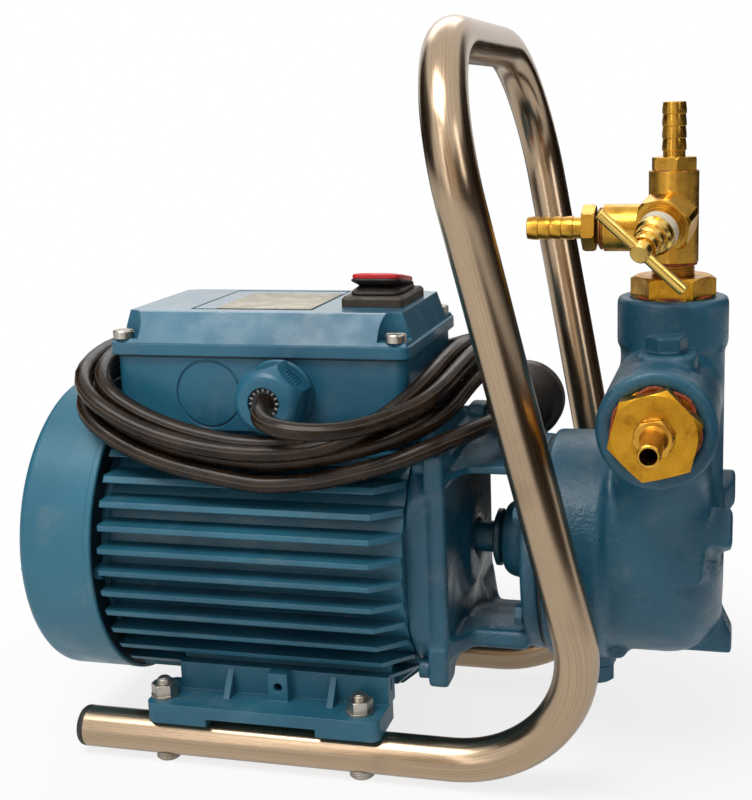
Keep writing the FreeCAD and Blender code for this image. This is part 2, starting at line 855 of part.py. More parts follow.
def terminal_box():
    """The open box on top of the motor, with a moulded knock-out ring and the gland hole."""
    top = lid_flange_z - gasket_t
    w = box_wall
    outer = rounded_block(box_rear_x, box_front_x, box_y0, box_y1, box_bottom_z, top, box_corner_r)
    inner = rounded_block(box_rear_x + w, box_front_x - w, box_y0 + w, box_y1 - w, box_bottom_z + w, top + 1,
                          box_corner_r - w)
    low = box_bottom_z + w / 2
    posts = [cylinder(lid_screw_head_r, top - low, V(x, y, low)).common(outer) for x, y in lid_screw_places()]
    box = fuse([outer.cut(inner)] + posts)
    groove = ring(knockout_r, knockout_r - knockout_groove, w, V(knockout_x, box_y0 + knockout_depth - w,
                                                                 knockout_z), Y)
    gland_hole = cylinder(gland_thread_r + slip_gap, w + 4, V(gland_x, box_y0 - 2, gland_z), Y)
    wires = cylinder(pad_opening / 2 - 2, w + 4, V(0, 0, box_bottom_z - 2))
    threads = [cylinder(lid_screw_r, lid_screw_l, V(x, y, top - lid_screw_l + 1))
               for x, y in lid_screw_places()]
    return box.cut([groove, gland_hole, wires] + threads)


def lid_screw_places():
    inset, front = lid_screw_inset, lid_screw_inset_front
    return [(x, y) for x in (lid_x0 + inset, lid_x1 - front) for y in (lid_y0 + inset, lid_y1 - inset)]


def lid_gasket():
    w, z0 = box_wall, lid_flange_z - gasket_t
    outer = rounded_block(box_rear_x, box_front_x, box_y0, box_y1, z0, lid_flange_z, box_corner_r)
    inner = rounded_block(box_rear_x + w, box_front_x - w, box_y0 + w, box_y1 - w, z0 - 1, lid_flange_z + 1,
                          box_corner_r - w)
    eyes = [cylinder(lid_screw_head_r, gasket_t, V(x, y, z0)).common(outer) for x, y in lid_screw_places()]
    body = fuse([outer.cut(inner)] + eyes)
    return body.cut([cylinder(lid_hole_r, gasket_t + 2, V(x, y, z0 - 1)) for x, y in lid_screw_places()])


def lid_hood(grow):
    """The tapered upper part of the lid, as a solid; grow moves its faces in or out."""
    rows = []
    for z, dx, dy in ((lid_flange_z + lid_flange_t - 1, 1.0, 1.0),
                      (lid_top_z + grow, lid_draft_x + lid_lip, lid_draft_y + lid_lip)):
        x0, x1 = lid_x0 + dx - grow, lid_x1 - dx + grow
        y0, y1 = lid_y0 + dy - grow, lid_y1 - dy + grow
        rows.append(Part.makePolygon([V(x0, y0, z), V(x1, y0, z), V(x1, y1, z), V(x0, y1, z), V(x0, y0, z)]))
    return Part.makeLoft(rows, True, True)


def box_lid():
    """The lid: a flange on the gasket and a tapered hood with a notch over each screw."""
    w = lid_wall
    flange_top = lid_flange_z + lid_flange_t
    flange = rounded_block(lid_x0, lid_x1, lid_y0, lid_y1, lid_flange_z, flange_top, box_corner_r)
    outside = fuse([flange, lid_hood(0)])
    cavity = lid_hood(-w).fuse(block(box_rear_x + w, box_front_x - w, box_y0 + w, box_y1 - w,
                                     lid_flange_z - 1, flange_top - 0.5))
    seat_z = lid_screw_seat_z()
    tall = lid_top_z - lid_flange_z + 2
    walls = [lid_pocket(x, y, pocket_r + w, lid_flange_z, tall).common(outside)
             for x, y in lid_screw_places()]
    pockets = [lid_pocket(x, y, pocket_r, seat_z, tall) for x, y in lid_screw_places()]
    holes = [cylinder(lid_hole_r, tall, V(x, y, lid_flange_z - 1)) for x, y in lid_screw_places()]
    half_x, half_y = switch_case_x / 2 + slip_gap, switch_case_y / 2 + slip_gap
    window = block(switch_x - half_x, switch_x + half_x, switch_y - half_y, switch_y + half_y,
                   lid_top_z - w - 1, lid_top_z + 1)
    return fuse([outside.cut(cavity)] + walls).cut(pockets + [window]).cut(holes)


def lid_screws():
    """Slotted cheese-head screws, one in each notch of the lid."""
    screws = []
    seat_z = lid_screw_seat_z()
    r, t = lid_screw_head_r, lid_screw_head_t
    edge = 0.6
    for x, y in lid_screw_places():
        head = turned([(0, 0), (0, r), (t - edge, r), (t, r - edge), (t, 0)], V(x, y, seat_z), Z)
        slot = block(x - r - 1, x + r + 1, y - edge, y + edge, seat_z + t - 1, seat_z + t + 1)
        tip = lid_flange_z - gasket_t - lid_screw_l + 2
        shank = cylinder(lid_screw_r, seat_z - tip, V(x, y, tip))
        screws.append(fuse([head.cut(slot), shank]))
    return group(screws)


def cable_gland_body():
    """The gland's round flange and its threaded neck through the box wall."""
    base = gland_face()
    flange = turned([(0, 0), (0, gland_flange_r), (gland_flange_t - 0.8, gland_flange_r),
                     (gland_flange_t, gland_flange_r - 0.8), (gland_flange_t, 0)], base, -Y)
    neck = cylinder(gland_thread_r, box_wall + gland_neck_in, base + Y * (box_wall + gland_neck_in), -Y)
    spout = cylinder(gland_thread_r - 1, gland_flange_t + gland_spout_l, base, -Y)
    length = box_wall + gland_neck_in + gland_flange_t + gland_spout_l + 2
    bore = cylinder(cable_r + gland_bore_gap, length, base + Y * (box_wall + gland_neck_in + 1), -Y)
    return fuse([flange, neck, spout]).cut(bore)


def gland_nut():
    """The clamping nut: six flats at its root, then a dome down to the round mouth."""
    base = gland_face() - Y * gland_flange_t
    length, flats, front = gland_nut_l, gland_flats_l, gland_nut_r
    corner = gland_hex_af / math.sqrt(3)
    bore = gland_thread_r - 1 + slip_gap
    profile = [(0, bore), (0, corner), (flats, corner)]
    steps = 6
    for k in range(1, steps + 1):
        a = math.radians(90 * k / steps)
        profile.append((flats + (length - flats) * math.sin(a), front + (corner - front) * math.cos(a)))
    profile += [(length, gland_mouth_r), (length - gland_lip_t, gland_mouth_r), (length - gland_lip_t, bore)]
    return turned(profile, base, -Y).common(hexagon(gland_hex_af, length + 4, base, -Y, 15))


def gland_seal():
    """The rubber sleeve that grips the cable."""
    front = gland_flange_t + gland_nut_l - gland_seal_recess
    start = gland_flange_t + gland_spout_l + slip_gap
    return ring(gland_mouth_r - slip_gap, cable_r, front - start, gland_face() - Y * start, -Y)


def terminal_block():
    z0 = box_bottom_z + box_wall
    body = block(terminal_x, terminal_x + terminal_l,
                 terminal_y, terminal_y + terminal_w, z0, z0 + terminal_h)
    rows = (terminal_y + terminal_w / 4, terminal_y + terminal_w * 3 / 4)
    first_x = terminal_x + (terminal_l - 3 * terminal_pitch) / 2
    wells = [cylinder(terminal_well_r, terminal_well_depth + 1,
                      V(first_x + terminal_pitch * i, y, z0 + terminal_h - terminal_well_depth))
             for i in range(4) for y in rows]
    return body.cut(wells)


def run_capacitor():
    """The motor's capacitor, a can that lies along the back of the box."""
    r = capacitor_r
    base = V(5, box_y1 - box_wall - capacitor_r - 6, box_bottom_z + box_wall + r)
    can = turned([(0, 0), (0, r - 1), (1, r), (50, r), (51, r - 1), (51, 0)], base, X)
    tags = [block(base.x + 50, base.x + 55, base.y + dy - 0.4, base.y + dy + 0.4, base.z - 3, base.z + 3)
            for dy in (-5, 5)]
    return fuse([can] + tags)


def switch_base():
    """The switch's black frame on the lid, with its case below the lid and the rocker's bearings."""
    x, y = switch_x, switch_y
    top = lid_top_z + switch_base_t
    frame = rounded_block(x - switch_base_x / 2, x + switch_base_x / 2,
                          y - switch_base_y / 2, y + switch_base_y / 2, lid_top_z, top, 2)
    upper = [e for e in frame.Edges if min(v.Z for v in e.Vertexes) > top - 0.1]
    frame = frame.makeChamfer(1.2, upper)
    case = block(x - switch_case_x / 2, x + switch_case_x / 2, y - switch_case_y / 2, y + switch_case_y / 2,
                 lid_top_z - switch_case_h, lid_top_z + 1)
    pivot = rocker_pivot()
    half_x, half_y = stem_half_x + seat_gap, stem_half_y + stem_swing
    well = block(x - half_x, x + half_x, pivot.y - half_y, pivot.y + half_y,
                 pivot.z - stem_half_y - 1, top + 1)
    r = trunnion_r + running_gap
    trunnions = cylinder(r, 2 * (half_x + trunnion_l), pivot - X * (half_x + trunnion_l), X)
    return fuse([frame, case]).cut(well).cut(trunnions)


def switch_boot():
    """The rubber boot on the frame: a low foot and a roof, with an opening for the rocker's stem."""
    x, y = switch_x, switch_y
    z0 = lid_top_z + switch_base_t
    half_x, half_y = boot_half_x, boot_half_y
    foot = block(x - half_x, x + half_x, y - half_y, y + half_y, z0, z0 + boot_foot_t)
    middle = rocker_pivot().y
    rows = [(y - half_y, boot_foot_t), (middle, boot_top), (y + half_y, boot_foot_t)]
    points = [V(x - half_x, a, z0 + b) for a, b in rows]
    roof = Part.Face(Part.makePolygon(points + points[:1])).extrude(X * 2 * half_x)
    slot_x, slot_y = stem_half_x + seat_gap, stem_half_y + stem_swing
    slot = block(x - slot_x, x + slot_x, middle - slot_y, middle + slot_y, z0 - 1, z0 + boot_top + 1)
    return fuse([foot, roof]).cut(slot)


def switch_rocker():
    """A rocker with a ridge across its middle; it rests with its far half pressed in."""
    pivot = rocker_pivot()
    half, h = rocker_y / 2, rocker_height
    low = h - half * math.tan(math.radians(rocker_ridge))
    under = low - rocker_edge_t
    profile = [(-half, under), (-half, low), (0, h), (half, low), (half, under)]
    x0 = pivot.x - rocker_x / 2
    wire = Part.makePolygon([V(x0, pivot.y + a, pivot.z + b) for a, b in profile + profile[:1]])
    cap = Part.Face(wire).extrude(X * rocker_x)
    stem = block(pivot.x - stem_half_x, pivot.x + stem_half_x, pivot.y - stem_half_y, pivot.y + stem_half_y,
                 pivot.z, pivot.z + under + 0.5)
    heel = cylinder(stem_half_y, 2 * stem_half_x, pivot - X * stem_half_x, X)
    reach = stem_half_x + trunnion_l
    trunnions = cylinder(trunnion_r, 2 * reach, pivot - X * reach, X)
    return fuse([cap, stem, heel, trunnions]).rotated(pivot, X, -rocker_tilt)


def impeller_x():
    return back_plate_x + back_plate_t + impeller_gap


def lantern_screw_places():
    """Where four screws pass through the motor's half of the flange into the lantern's half."""
    y, dz = shield_half_y - lantern_screw_inset, shield_lug_half_z - lantern_screw_inset
    return [V(shield_plate_x, sy * y, shaft_height + sz * dz) for sy in (-1, 1) for sz in (-1, 1)]


def lantern_bracket():
    """The cast bracket: flange, two arms, the pump's back plate and the bulb that holds the shaft seal."""
    x0, x1 = back_plate_x, back_plate_x + back_plate_t
    plate = on_shaft([(x0, seal_bulb_bore_r), (x0, back_plate_r - 2), (x0 + 2, back_plate_r),
                      (x1, back_plate_r), (x1, seal_bulb_bore_r)])
    length = x0 - seal_bulb_x
    profile = [(seal_bulb_x, seal_bulb_bore_r)]
    steps = 6
    for k in range(steps + 1):
        a = math.radians(90 * k / steps)
        profile.append((seal_bulb_x + length * seal_bulb_round * (1 - math.cos(a)),
                        seal_bulb_r - seal_bulb_nose * (1 - math.sin(a))))
    profile += [(x0 + 1, seal_bulb_r + 3), (x0 + 1, seal_bulb_bore_r)]
    body = fuse([plate, on_shaft(profile), square_flange(shield_split_x, shield_face_x)] + lantern_arms())
    body = body.cut(shield_hub(running_gap))
    holes = [cylinder(lantern_screw_r, lantern_thread_l, V(shield_split_x, p.y, p.z), X)
             for p in lantern_screw_places()]
    screws = [cylinder(casing_screw_r + slip_gap, back_plate_t + 2, p - X * (back_plate_t + 1), X)
              for p in casing_screw_points()]
    return body.cut(holes + screws)


def lantern_screws():
    """Screws from the motor side, so that no head shows towards the pump."""
    screws = []
    t = lantern_screw_head_t
    for p in lantern_screw_places():
        key = hexagon(lantern_screw_key, t, p - X * (t + 2), X)
        head = cylinder(lantern_screw_head_r, t, p - X * t, X).cut(key)
        length = shield_split_x - p.x + lantern_thread_l - seat_gap
        shank = cylinder(lantern_screw_r - running_gap, length, p, X)
        screws.append(fuse([head, shank]))
    return group(screws)


def casing_screw_points():
    """Screws that draw the casing's flange against the back plate."""
    r = back_plate_r - casing_screw_inset
    x = back_plate_x + back_plate_t
    points = []
    for degrees in casing_screw_angles:
        a = math.radians(degrees)
        points.append(V(x, r * math.cos(a), shaft_height + r * math.sin(a)))
    return points


def casing_screws():
    screws = []
    for p in casing_screw_points():
        head = hexagon(casing_screw_af, casing_screw_head_t, p - X * back_plate_t, -X)
        shank = cylinder(casing_screw_r, back_plate_t + casing_thread_l - 1, p - X * back_plate_t, X)
        screws.append(fuse([head, shank]))
    return group(screws)


def casing_gasket():
    x0 = back_plate_x + back_plate_t
    gasket = shaft_ring(x0, x0 + gasket_pump_t, back_plate_r, casing_bore_r)
    return gasket.cut([cylinder(casing_screw_r + slip_gap, gasket_pump_t + 2, p - X, X)
                       for p in casing_screw_points()])


def pump_casing():
    """The cast casing: flange, barrel, discharge neck, suction elbow, filler pad and nose lugs."""
    x0 = back_plate_x + back_plate_t + gasket_pump_t
    nose, front = casing_nose_r, casing_front_x
    profile = [(x0, 0), (x0, casing_flange_r - 1), (x0 + 1, casing_flange_r),
               (casing_step_x - 1.5, casing_flange_r), (casing_step_x, casing_flange_r - 1.5),
               (casing_step_x + 1.5, barrel_pump_r)]
    steps = 8
    for k in range(steps + 1):
        a = math.radians(90 * k / steps)
        profile.append((front - nose + nose * math.sin(a), barrel_pump_r - nose + nose * math.cos(a)))
    profile.append((front, 0))
    barrel = on_shaft(profile)
    neck = cylinder(neck_r, collar_bottom_z - shaft_height + 1, V(column_x, 0, shaft_height))
    edge = 1.2
    depth = collar_top_z - collar_bottom_z
    collar = turned([(0, 0), (0, collar_r - edge), (edge, collar_r), (depth - edge, collar_r),
                     (depth, collar_r - edge), (depth, 0)], V(column_x, 0, collar_bottom_z), Z)
    reach = -suction_face_y
    boss = turned([(0, 0), (0, collar_r - edge), (edge, collar_r), (reach, collar_r), (reach, 0)],
                  V(suction_x, suction_face_y, suction_z), Y)
    elbow = cylinder(elbow_r, suction_z - shaft_height, V(suction_x, elbow_y, shaft_height))
    pad = rounded_block(*filler_pad, suction_z, filler_boss_top_z, filler_pad_corner)
    drain = cylinder(drain_boss_r, casing_flange_r / 2, V(drain_x, 0, drain_z))
    lugs = [nose_lug().rotated(shaft_axis, X, a) for a in nose_lug_angles]
    body = fuse([barrel, neck, collar, boss, elbow, pad, drain] + lugs)
    return body.cut(casing_cavity())


def nose_lug():
    """A cast lug on the casing's nose, drawn at the bottom; its face slopes back towards the shaft."""
    z = shaft_height - nose_lug_r
    y = -nose_lug_w / 2
    x_in = casing_front_x - casing_nose_r - 4
    rise = nose_lug_face_h + nose_lug_slope_h
    points = [V(x_in, y, z), V(nose_lug_x, y, z), V(nose_lug_x, y, z + nose_lug_face_h),
              V(casing_front_x - 0.5, y, z + rise), V(x_in, y, z + rise)]
    return Part.Face(Part.makePolygon(points + points[:1])).extrude(Y * nose_lug_w)


def casing_cavity():
    """Everything hollow in the casing: both chambers, both ports and the passages between."""
    x0 = back_plate_x + back_plate_t
    split = impeller_x() + impeller_t + impeller_side_gap
    chamber = shaft_ring(x0 - 1, split, casing_bore_r, 0)
    front = shaft_ring(split + casing_wall, casing_front_x - casing_wall, front_chamber_r, 0)
    eye = cylinder(impeller_hub_r - 2, casing_wall + 2, shaft_axis + X * (split - 1), X)
    port = cylinder(port_bore_r, port_depth, V(column_x, 0, collar_top_z - port_depth))
    up = V(column_x, 0, shaft_height + barrel_pump_r)
    rise = cylinder(passage_r, collar_top_z - up.z, up)
    slant_from = V(split - 6, 0, shaft_height + casing_bore_r - 8)
    slant = up + Z * passage_r - slant_from
    duct = cylinder(passage_r - 2, slant.Length, slant_from, V(slant).normalize())
    inlet = cylinder(port_bore_r, port_depth, V(suction_x, suction_face_y, suction_z), Y)
    across = cylinder(passage_r, elbow_y - suction_face_y + passage_r,
                      V(suction_x, suction_face_y, suction_z), Y)
    down = cylinder(passage_r, suction_z - shaft_height, V(suction_x, elbow_y + passage_r, shaft_height))
    filler = cylinder(plug_thread_r(), filler_boss_top_z - suction_z, V(filler_x, filler_y, suction_z))
    drain = cylinder(plug_thread_r(), shaft_height - casing_bore_r + 4 - drain_z, V(drain_x, 0, drain_z - 2))
    threads = [cylinder(casing_screw_r + slip_gap, casing_thread_l, p - X * 0.2, X)
               for p in casing_screw_points()]
    hollows = [chamber, front, eye, port, rise, duct, inlet, across, down, filler, drain]
    return group([fuse(hollows)] + threads)


def plug_thread_r():
    return filler_af / 2 - 2


def filling_plug():
    return hex_plug(V(filler_x, filler_y, filler_boss_top_z), Z, plug_head_h, 12)


def drain_plug():
    return hex_plug(V(drain_x, 0, drain_z), -Z, drain_head_h, 12)


def impeller():
    """A star impeller: straight radial vanes on a hub, open on both faces at the rim."""
    x0 = impeller_x()
    hub = shaft_ring(x0, x0 + impeller_t, impeller_hub_r, drive_shaft_r)
    web = shaft_ring(x0 + impeller_t / 2 - 1.5, x0 + impeller_t / 2 + 1.5, impeller_r - 8, drive_shaft_r)
    vane = block(x0, x0 + impeller_t, -vane_t / 2, vane_t / 2, impeller_hub_r - 1, impeller_r)
    vane.translate(shaft_axis)
    return fuse([hub, web] + around_shaft(vane, impeller_vanes))


def impeller_nut():
    base = shaft_axis + X * (impeller_x() + impeller_t)
    nut = hexagon(impeller_nut_af, impeller_nut_t, base, X)
    return nut.cut(cylinder(drive_shaft_r, impeller_nut_t + 1, base, X))


def seal_seat():
    """The fixed ring of the shaft seal, pressed in the bulb."""
    x0 = back_plate_x - 3
    return shaft_ring(x0, x0 + seal_seat_t, seal_bulb_bore_r, drive_shaft_r + seat_gap)


def seal_head():
    """The turning half of the shaft seal, sprung against the seat."""
    x0 = back_plate_x - 3 + seal_seat_t + running_gap
    x1 = impeller_x() - running_gap
    r = drive_shaft_r
    return on_shaft([(x0, r), (x0, r + 2.4), (x0 + 3, r + 2.4), (x0 + 3, r + 1.6), (x1, r + 1.6), (x1, r)])


def flinger():
    """The rubber disc on the shaft that throws off leakage."""
    x1 = seal_bulb_x - seat_gap
    r, t = flinger_r, flinger_t
    return on_shaft([(x1 - t, drive_shaft_r), (x1 - t, r - 2.5), (x1 - t + 1, r), (x1 - 1.2, r), (x1, r - 2),
                     (x1, drive_shaft_r)])


def suction_bushing():
    face = V(suction_x, suction_face_y, suction_z)
    head = hexagon(bushing_af, bushing_t, face, -Y, 15.5)
    shank = cylinder(port_bore_r - slip_gap, port_depth - 1, face, Y)
    bore = cylinder(nipple_r - 1, bushing_t + port_depth + 4, face - Y * (bushing_t + 1), Y)
    return fuse([head, shank]).cut(bore)


def suction_hose_tail():
    """The smooth hose tail at the suction port."""
    base = V(suction_x, suction_face_y - bushing_t, suction_z)
    length = base.y - suction_tail_end_y
    hexa = hexagon(suction_hex_af, suction_hex_t, base, -Y, 10)
    thread = cylinder(nipple_r - 1 - slip_gap, bushing_t, base, Y)
    spigot_l = length - suction_hex_t
    r, edge = suction_spigot_r, 0.5
    spigot = turned([(0, 0), (0, r + 1), (2, r), (spigot_l - edge, r), (spigot_l, r - edge), (spigot_l, 0)],
                    base - Y * suction_hex_t, -Y)
    return spigot_bore(fuse([hexa, thread, spigot]), base, -Y, length, bushing_t, fitting_bore_r)


def discharge_bushing():
    face = V(column_x, 0, collar_top_z)
    head = hexagon(discharge_af, bushing_t, face, Z, 0)
    shank = cylinder(port_bore_r - slip_gap, port_depth - 1, face, -Z)
    bore = cylinder(nipple_r - slip_gap, bushing_t + port_depth + 4, face + Z * (bushing_t + 1), -Z)
    return fuse([head, shank]).cut(bore)


def tee_nipple():
    z0 = collar_top_z - port_depth + 3
    z1 = tee_bottom_z + nipple_engage
    return ring(nipple_r - 2 * slip_gap, run_bore_r, z1 - z0, V(column_x, 0, z0))


def tee_body():
    """The tee: the upright run, the branch towards the motor and the boss for the valve."""
    run = cylinder(tee_r, tee_top_z - tee_bottom_z, V(column_x, 0, tee_bottom_z))
    branch = cylinder(branch_r, column_x - branch_end_x, V(branch_end_x, 0, branch_z), X)
    start = 3.0
    corner = valve_hex_af / math.sqrt(3)
    chest = hexagon(valve_hex_af, valve_hex_end - start, valve_base + valve_axis * start, valve_axis, 20)
    round_chest = cylinder(corner * 0.95, valve_hex_end, valve_base, valve_axis)
    shoulder = cylinder(valve_shoulder_r, valve_shoulder_end, valve_base, valve_axis)
    body = fuse([run, branch, chest.common(round_chest), shoulder])
    cuts = [cylinder(nipple_r - slip_gap, nipple_engage, V(column_x, 0, tee_bottom_z)),
            cylinder(run_bore_r, tee_top_z - tee_bottom_z, V(column_x, 0, tee_bottom_z)),
            cylinder(nipple_r - 1, top_thread_l + 1, V(column_x, 0, tee_top_z - top_thread_l - 1)),
            cylinder(nipple_r - 1, branch_thread_l + 5, V(branch_end_x, 0, branch_z), X),
            cylinder(fitting_bore_r, column_x - branch_end_x, V(branch_end_x, 0, branch_z), X),
            cylinder(needle_bore_r(), valve_shoulder_end + 1, valve_base, valve_axis)]
    return body.cut(fuse(cuts))


def needle_bore_r():
    return spindle_r + 1.2


def top_hose_tail():
    base = V(column_x, 0, tee_top_z)
    return barbed_tail(base, Z, top_tail_end_z - tee_top_z, top_thread_l)


def side_hose_tail():
    base = V(branch_end_x - branch_thread_l, 0, branch_z)
    return barbed_tail(base, -X, base.x - side_tail_end_x, branch_bore_l)


def valve_bonnet():
    """The neck and the two stepped rings that carry the spindle."""
    start, edge = valve_shoulder_end, 1.2
    r0, r1, r2 = valve_neck_r, bonnet_af / 2 + 0.2, spindle_r + 1.4
    neck = turned([(start, 0), (start, r0), (valve_neck_end - edge, r0), (valve_neck_end, r0 - edge),
                   (valve_neck_end, r1), (bonnet_end - 0.6, r1), (bonnet_end, r1 - 0.6), (bonnet_end, r2),
                   (bonnet_nose_end, r2), (bonnet_nose_end, 0)], valve_base, valve_axis)
    inner = valve_base + valve_axis * (start - bonnet_shank_l)
    shank = cylinder(needle_bore_r() - slip_gap, bonnet_shank_l, inner, valve_axis)
    bore = cylinder(spindle_r + running_gap, bonnet_nose_end + 2, valve_base + valve_axis, valve_axis)
    return fuse([neck, shank]).cut(bore)


def t_bar_direction():
    """The T-bar lies square to the spindle, from upper left to lower right."""
    across, up = side_axes(valve_axis)
    a = math.radians(t_bar_angle)
    return across * math.cos(a) + up * math.sin(a)


def valve_spindle():
    """The spindle with its hub at the outer end."""
    stem = cylinder(spindle_r, hub_start + 1 - needle_top, valve_base + valve_axis * needle_top, valve_axis)
    edge = 0.6
    hub = turned([(hub_start, 0), (hub_start, hub_r), (hub_end - edge, hub_r), (hub_end, hub_r - edge),
                  (hub_end, 0)], valve_base, valve_axis)
    return fuse([stem, hub]).cut(t_bar())


def t_bar():
    """The bar pressed through the hub, by which the valve is turned."""
    middle = valve_base + valve_axis * ((hub_start + hub_end) / 2)
    along = t_bar_direction()
    edge = 0.5
    r, length = t_bar_r, t_bar_l
    profile = [(0, 0), (0, r - edge), (edge, r), (length - edge, r), (length, r - edge), (length, 0)]
    return turned(profile, middle - along * length / 2, along)


def valve_needle():
    """The tapered closing piece at the spindle's inner end."""
    top = needle_top
    return turned([(top - needle_l, 0), (top - needle_l, 0.8), (top - 1.5, needle_r), (top, needle_r),
                   (top, 0)], valve_base, valve_axis)


def above_box_base(corners):
    """Places whose heights are given above the box's underside."""
    return [V(x, y, box_bottom_z + rise) for x, y, rise in corners]


def coil_route():
    """Corners of the wound cord's middle line, round the terminal box."""
    return above_box_base(coil_corners)


def cord_coil():
    route = coil_route()
    return tube_along(route, easy_radii(route, True), coil_r, True)


def lead_route():
    """The cord from the gland to where it joins the winding."""
    start = gland_face() - Y * (gland_flange_t + gland_nut_l - gland_seal_recess)
    return [start] + above_box_base(lead_corners)


def cord_lead():
    route = lead_route()
    return tube_along(route, easy_radii(route), cable_r).cut(cord_coil())


def tail_route():
    """The cord from the foot of the winding, over the flange and behind the near leg, to the plug."""
    plug_front = plug_y - plug_body_t / 2 - plug_dome_t - plug_neck_l
    return above_box_base(tail_corners) + [V(plug_x, plug_front, plug_z)]


def cord_tail():
    route = tail_route()
    return tube_along(route, easy_radii(route), cable_r).cut([cord_coil(), mains_plug()])


def mains_plug():
    """A round two-pin plug behind the lantern, pins to the back, cord into its domed front."""
    centre = V(plug_x, plug_y, plug_z)
    r, t, edge = plug_r, plug_body_t, 1.5
    front = -t / 2 - plug_dome_t
    profile = [(t / 2, 0), (t / 2, r - edge), (t / 2 - edge, r), (-t / 2, r)]
    steps = 6
    for k in range(1, steps):
        a = math.radians(90 * k / steps)
        profile.append((-t / 2 - plug_dome_t * math.sin(a), (r - edge) * math.cos(a)))
    profile += [(front, plug_neck_r), (front - plug_neck_l, cable_r + 1), (front - plug_neck_l, 0)]
    body = turned(profile, centre, Y)
    pins = []
    for sx in (-1, 1):
        base = centre + V(sx * pin_span / 2, t / 2 - 1, 0)
        pin = [(0, 0), (0, pin_r), (pin_l, pin_r), (pin_l + 1, pin_r - 1), (pin_l + 1, 0)]
        pins.append(turned(pin, base, Y))
    return fuse([body] + pins)


def cowl_screw_points():
    """Four places on the cowl's rear face; one of them faces the near side."""
    points = []
    for k in range(4):
        a = math.radians(90 * k + cowl_screw_turn)
        y, z = cowl_screw_radius * math.cos(a), cowl_screw_radius * math.sin(a)
        points.append(V(cowl_rear_x, y, shaft_height + z))
    return points


def square_flange(x0, x1):
    """A plate square to the shaft with a lug at each corner; the two halves of the joint share it."""
    pieces = [rounded_block(x0, x1, -shield_plate_half_y, shield_plate_half_y,
                            shaft_height - shield_half_z, shaft_height + shield_half_z, 1)]
    for sy in (-1, 1):
        y0, y1 = sorted((sy * shield_half_y, sy * (shield_half_y - shield_lug_w)))
        for sz in (-1, 1):
            z0, z1 = sorted((shaft_height + sz * shield_lug_half_z,
                             shaft_height + sz * (shield_lug_half_z - shield_lug_h)))
            lug = block(x0, x1, y0, y1, z0, z1)
            along = [e for e in lug.Edges if abs(e.Vertexes[0].X - e.Vertexes[-1].X) > 1]
            pieces.append(lug.makeFillet(shield_lug_corner_r, along))
    return fuse(pieces)


def lid_pocket(x, y, r, z, height):
    """The round-backed notch over one lid screw, open to the lid's corner."""
    out_x = 20 if x > 0 else -20
    out_y = 20 if y > box_mid_y else -20
    xs, ys = sorted((x, x + out_x)), sorted((y, y + out_y))
    return fuse([cylinder(r, height, V(x, y, z)), block(xs[0], xs[1], y - r, y + r, z, z + height),
                 block(x - r, x + r, ys[0], ys[1], z, z + height)])


def lid_screw_seat_z():
    return lid_flange_z + lid_flange_t + lid_screw_seat


def gland_face():
    return V(gland_x, box_y0, gland_z)


def rocker_pivot():
    return V(switch_x, switch_y - rocker_back, lid_top_z + switch_base_t - rocker_pivot_drop)


def lantern_arms():
    """The upper arm is a thin saddle; the lower one is a slab with a raised rib along it."""
    x0, x1 = shield_face_x - 1, back_plate_x + 1
    r = (arm_half_y ** 2 + arm_crown ** 2) / (2 * arm_crown)
    crown_z = shaft_height + arm_mid_r + arm_crown
    centre = V(x0, 0, crown_z - r)
    saddle = cylinder(r, x1 - x0, centre, X).cut(cylinder(r - arm_t, x1 - x0, centre, X))
    strip = block(x0, x1, -arm_half_y, arm_half_y, crown_z - arm_crown - arm_t - 1, crown_z + 1)
    low = low_arm_top
    slab = block(x0, x1, -arm_half_y, arm_half_y, low - low_arm_t, low)
    slab = slab.makeFillet(arm_edge_r, [e for e in slab.Edges if abs(e.Vertexes[0].X - e.Vertexes[-1].X) > 1])
    rib = block(x0, x1, -low_rib_half_y, low_rib_half_y, low - 1, low + low_rib_h)
    return [saddle.common(strip), slab, rib] + arm_flares(low)


def arm_flares(low):
    """Webs that spread each arm out to the lugs of the flange."""
    flares = []
    for side in (-1, 1):
        root = side * (arm_half_y - 2)
        tip = side * (shield_half_y - 3)
        for z, t in ((shaft_height + arm_mid_r - arm_t, arm_t), (low - low_arm_t, low_arm_t)):
            corners = [V(shield_face_x - 1, root, z), V(shield_face_x - 1, tip, z), V(shield_face_x, tip, z),
                       V(shield_face_x + arm_flare_l, root, z), V(shield_face_x - 1, root, z)]
            flares.append(Part.Face(Part.makePolygon(corners)).extrude(Z * t))
    return flares


def hex_plug(base, axis, head_h, corner_deg):
    """A screw plug with a thin collar under its hexagon."""
    head = hexagon(filler_af, head_h, base + axis * plug_collar_t, axis, corner_deg)
    collar = cylinder(filler_af / 2 + plug_collar_lip, plug_collar_t, base, axis)
    shank = cylinder(plug_thread_r() - slip_gap, plug_thread_l, base - axis * plug_thread_l, axis)
    return fuse([head, collar, shank])


def spigot_bore(body, base, axis, length, thread_l, r):
    return body.cut(cylinder(r, length + thread_l + 2, base - axis * (thread_l + 1), axis))


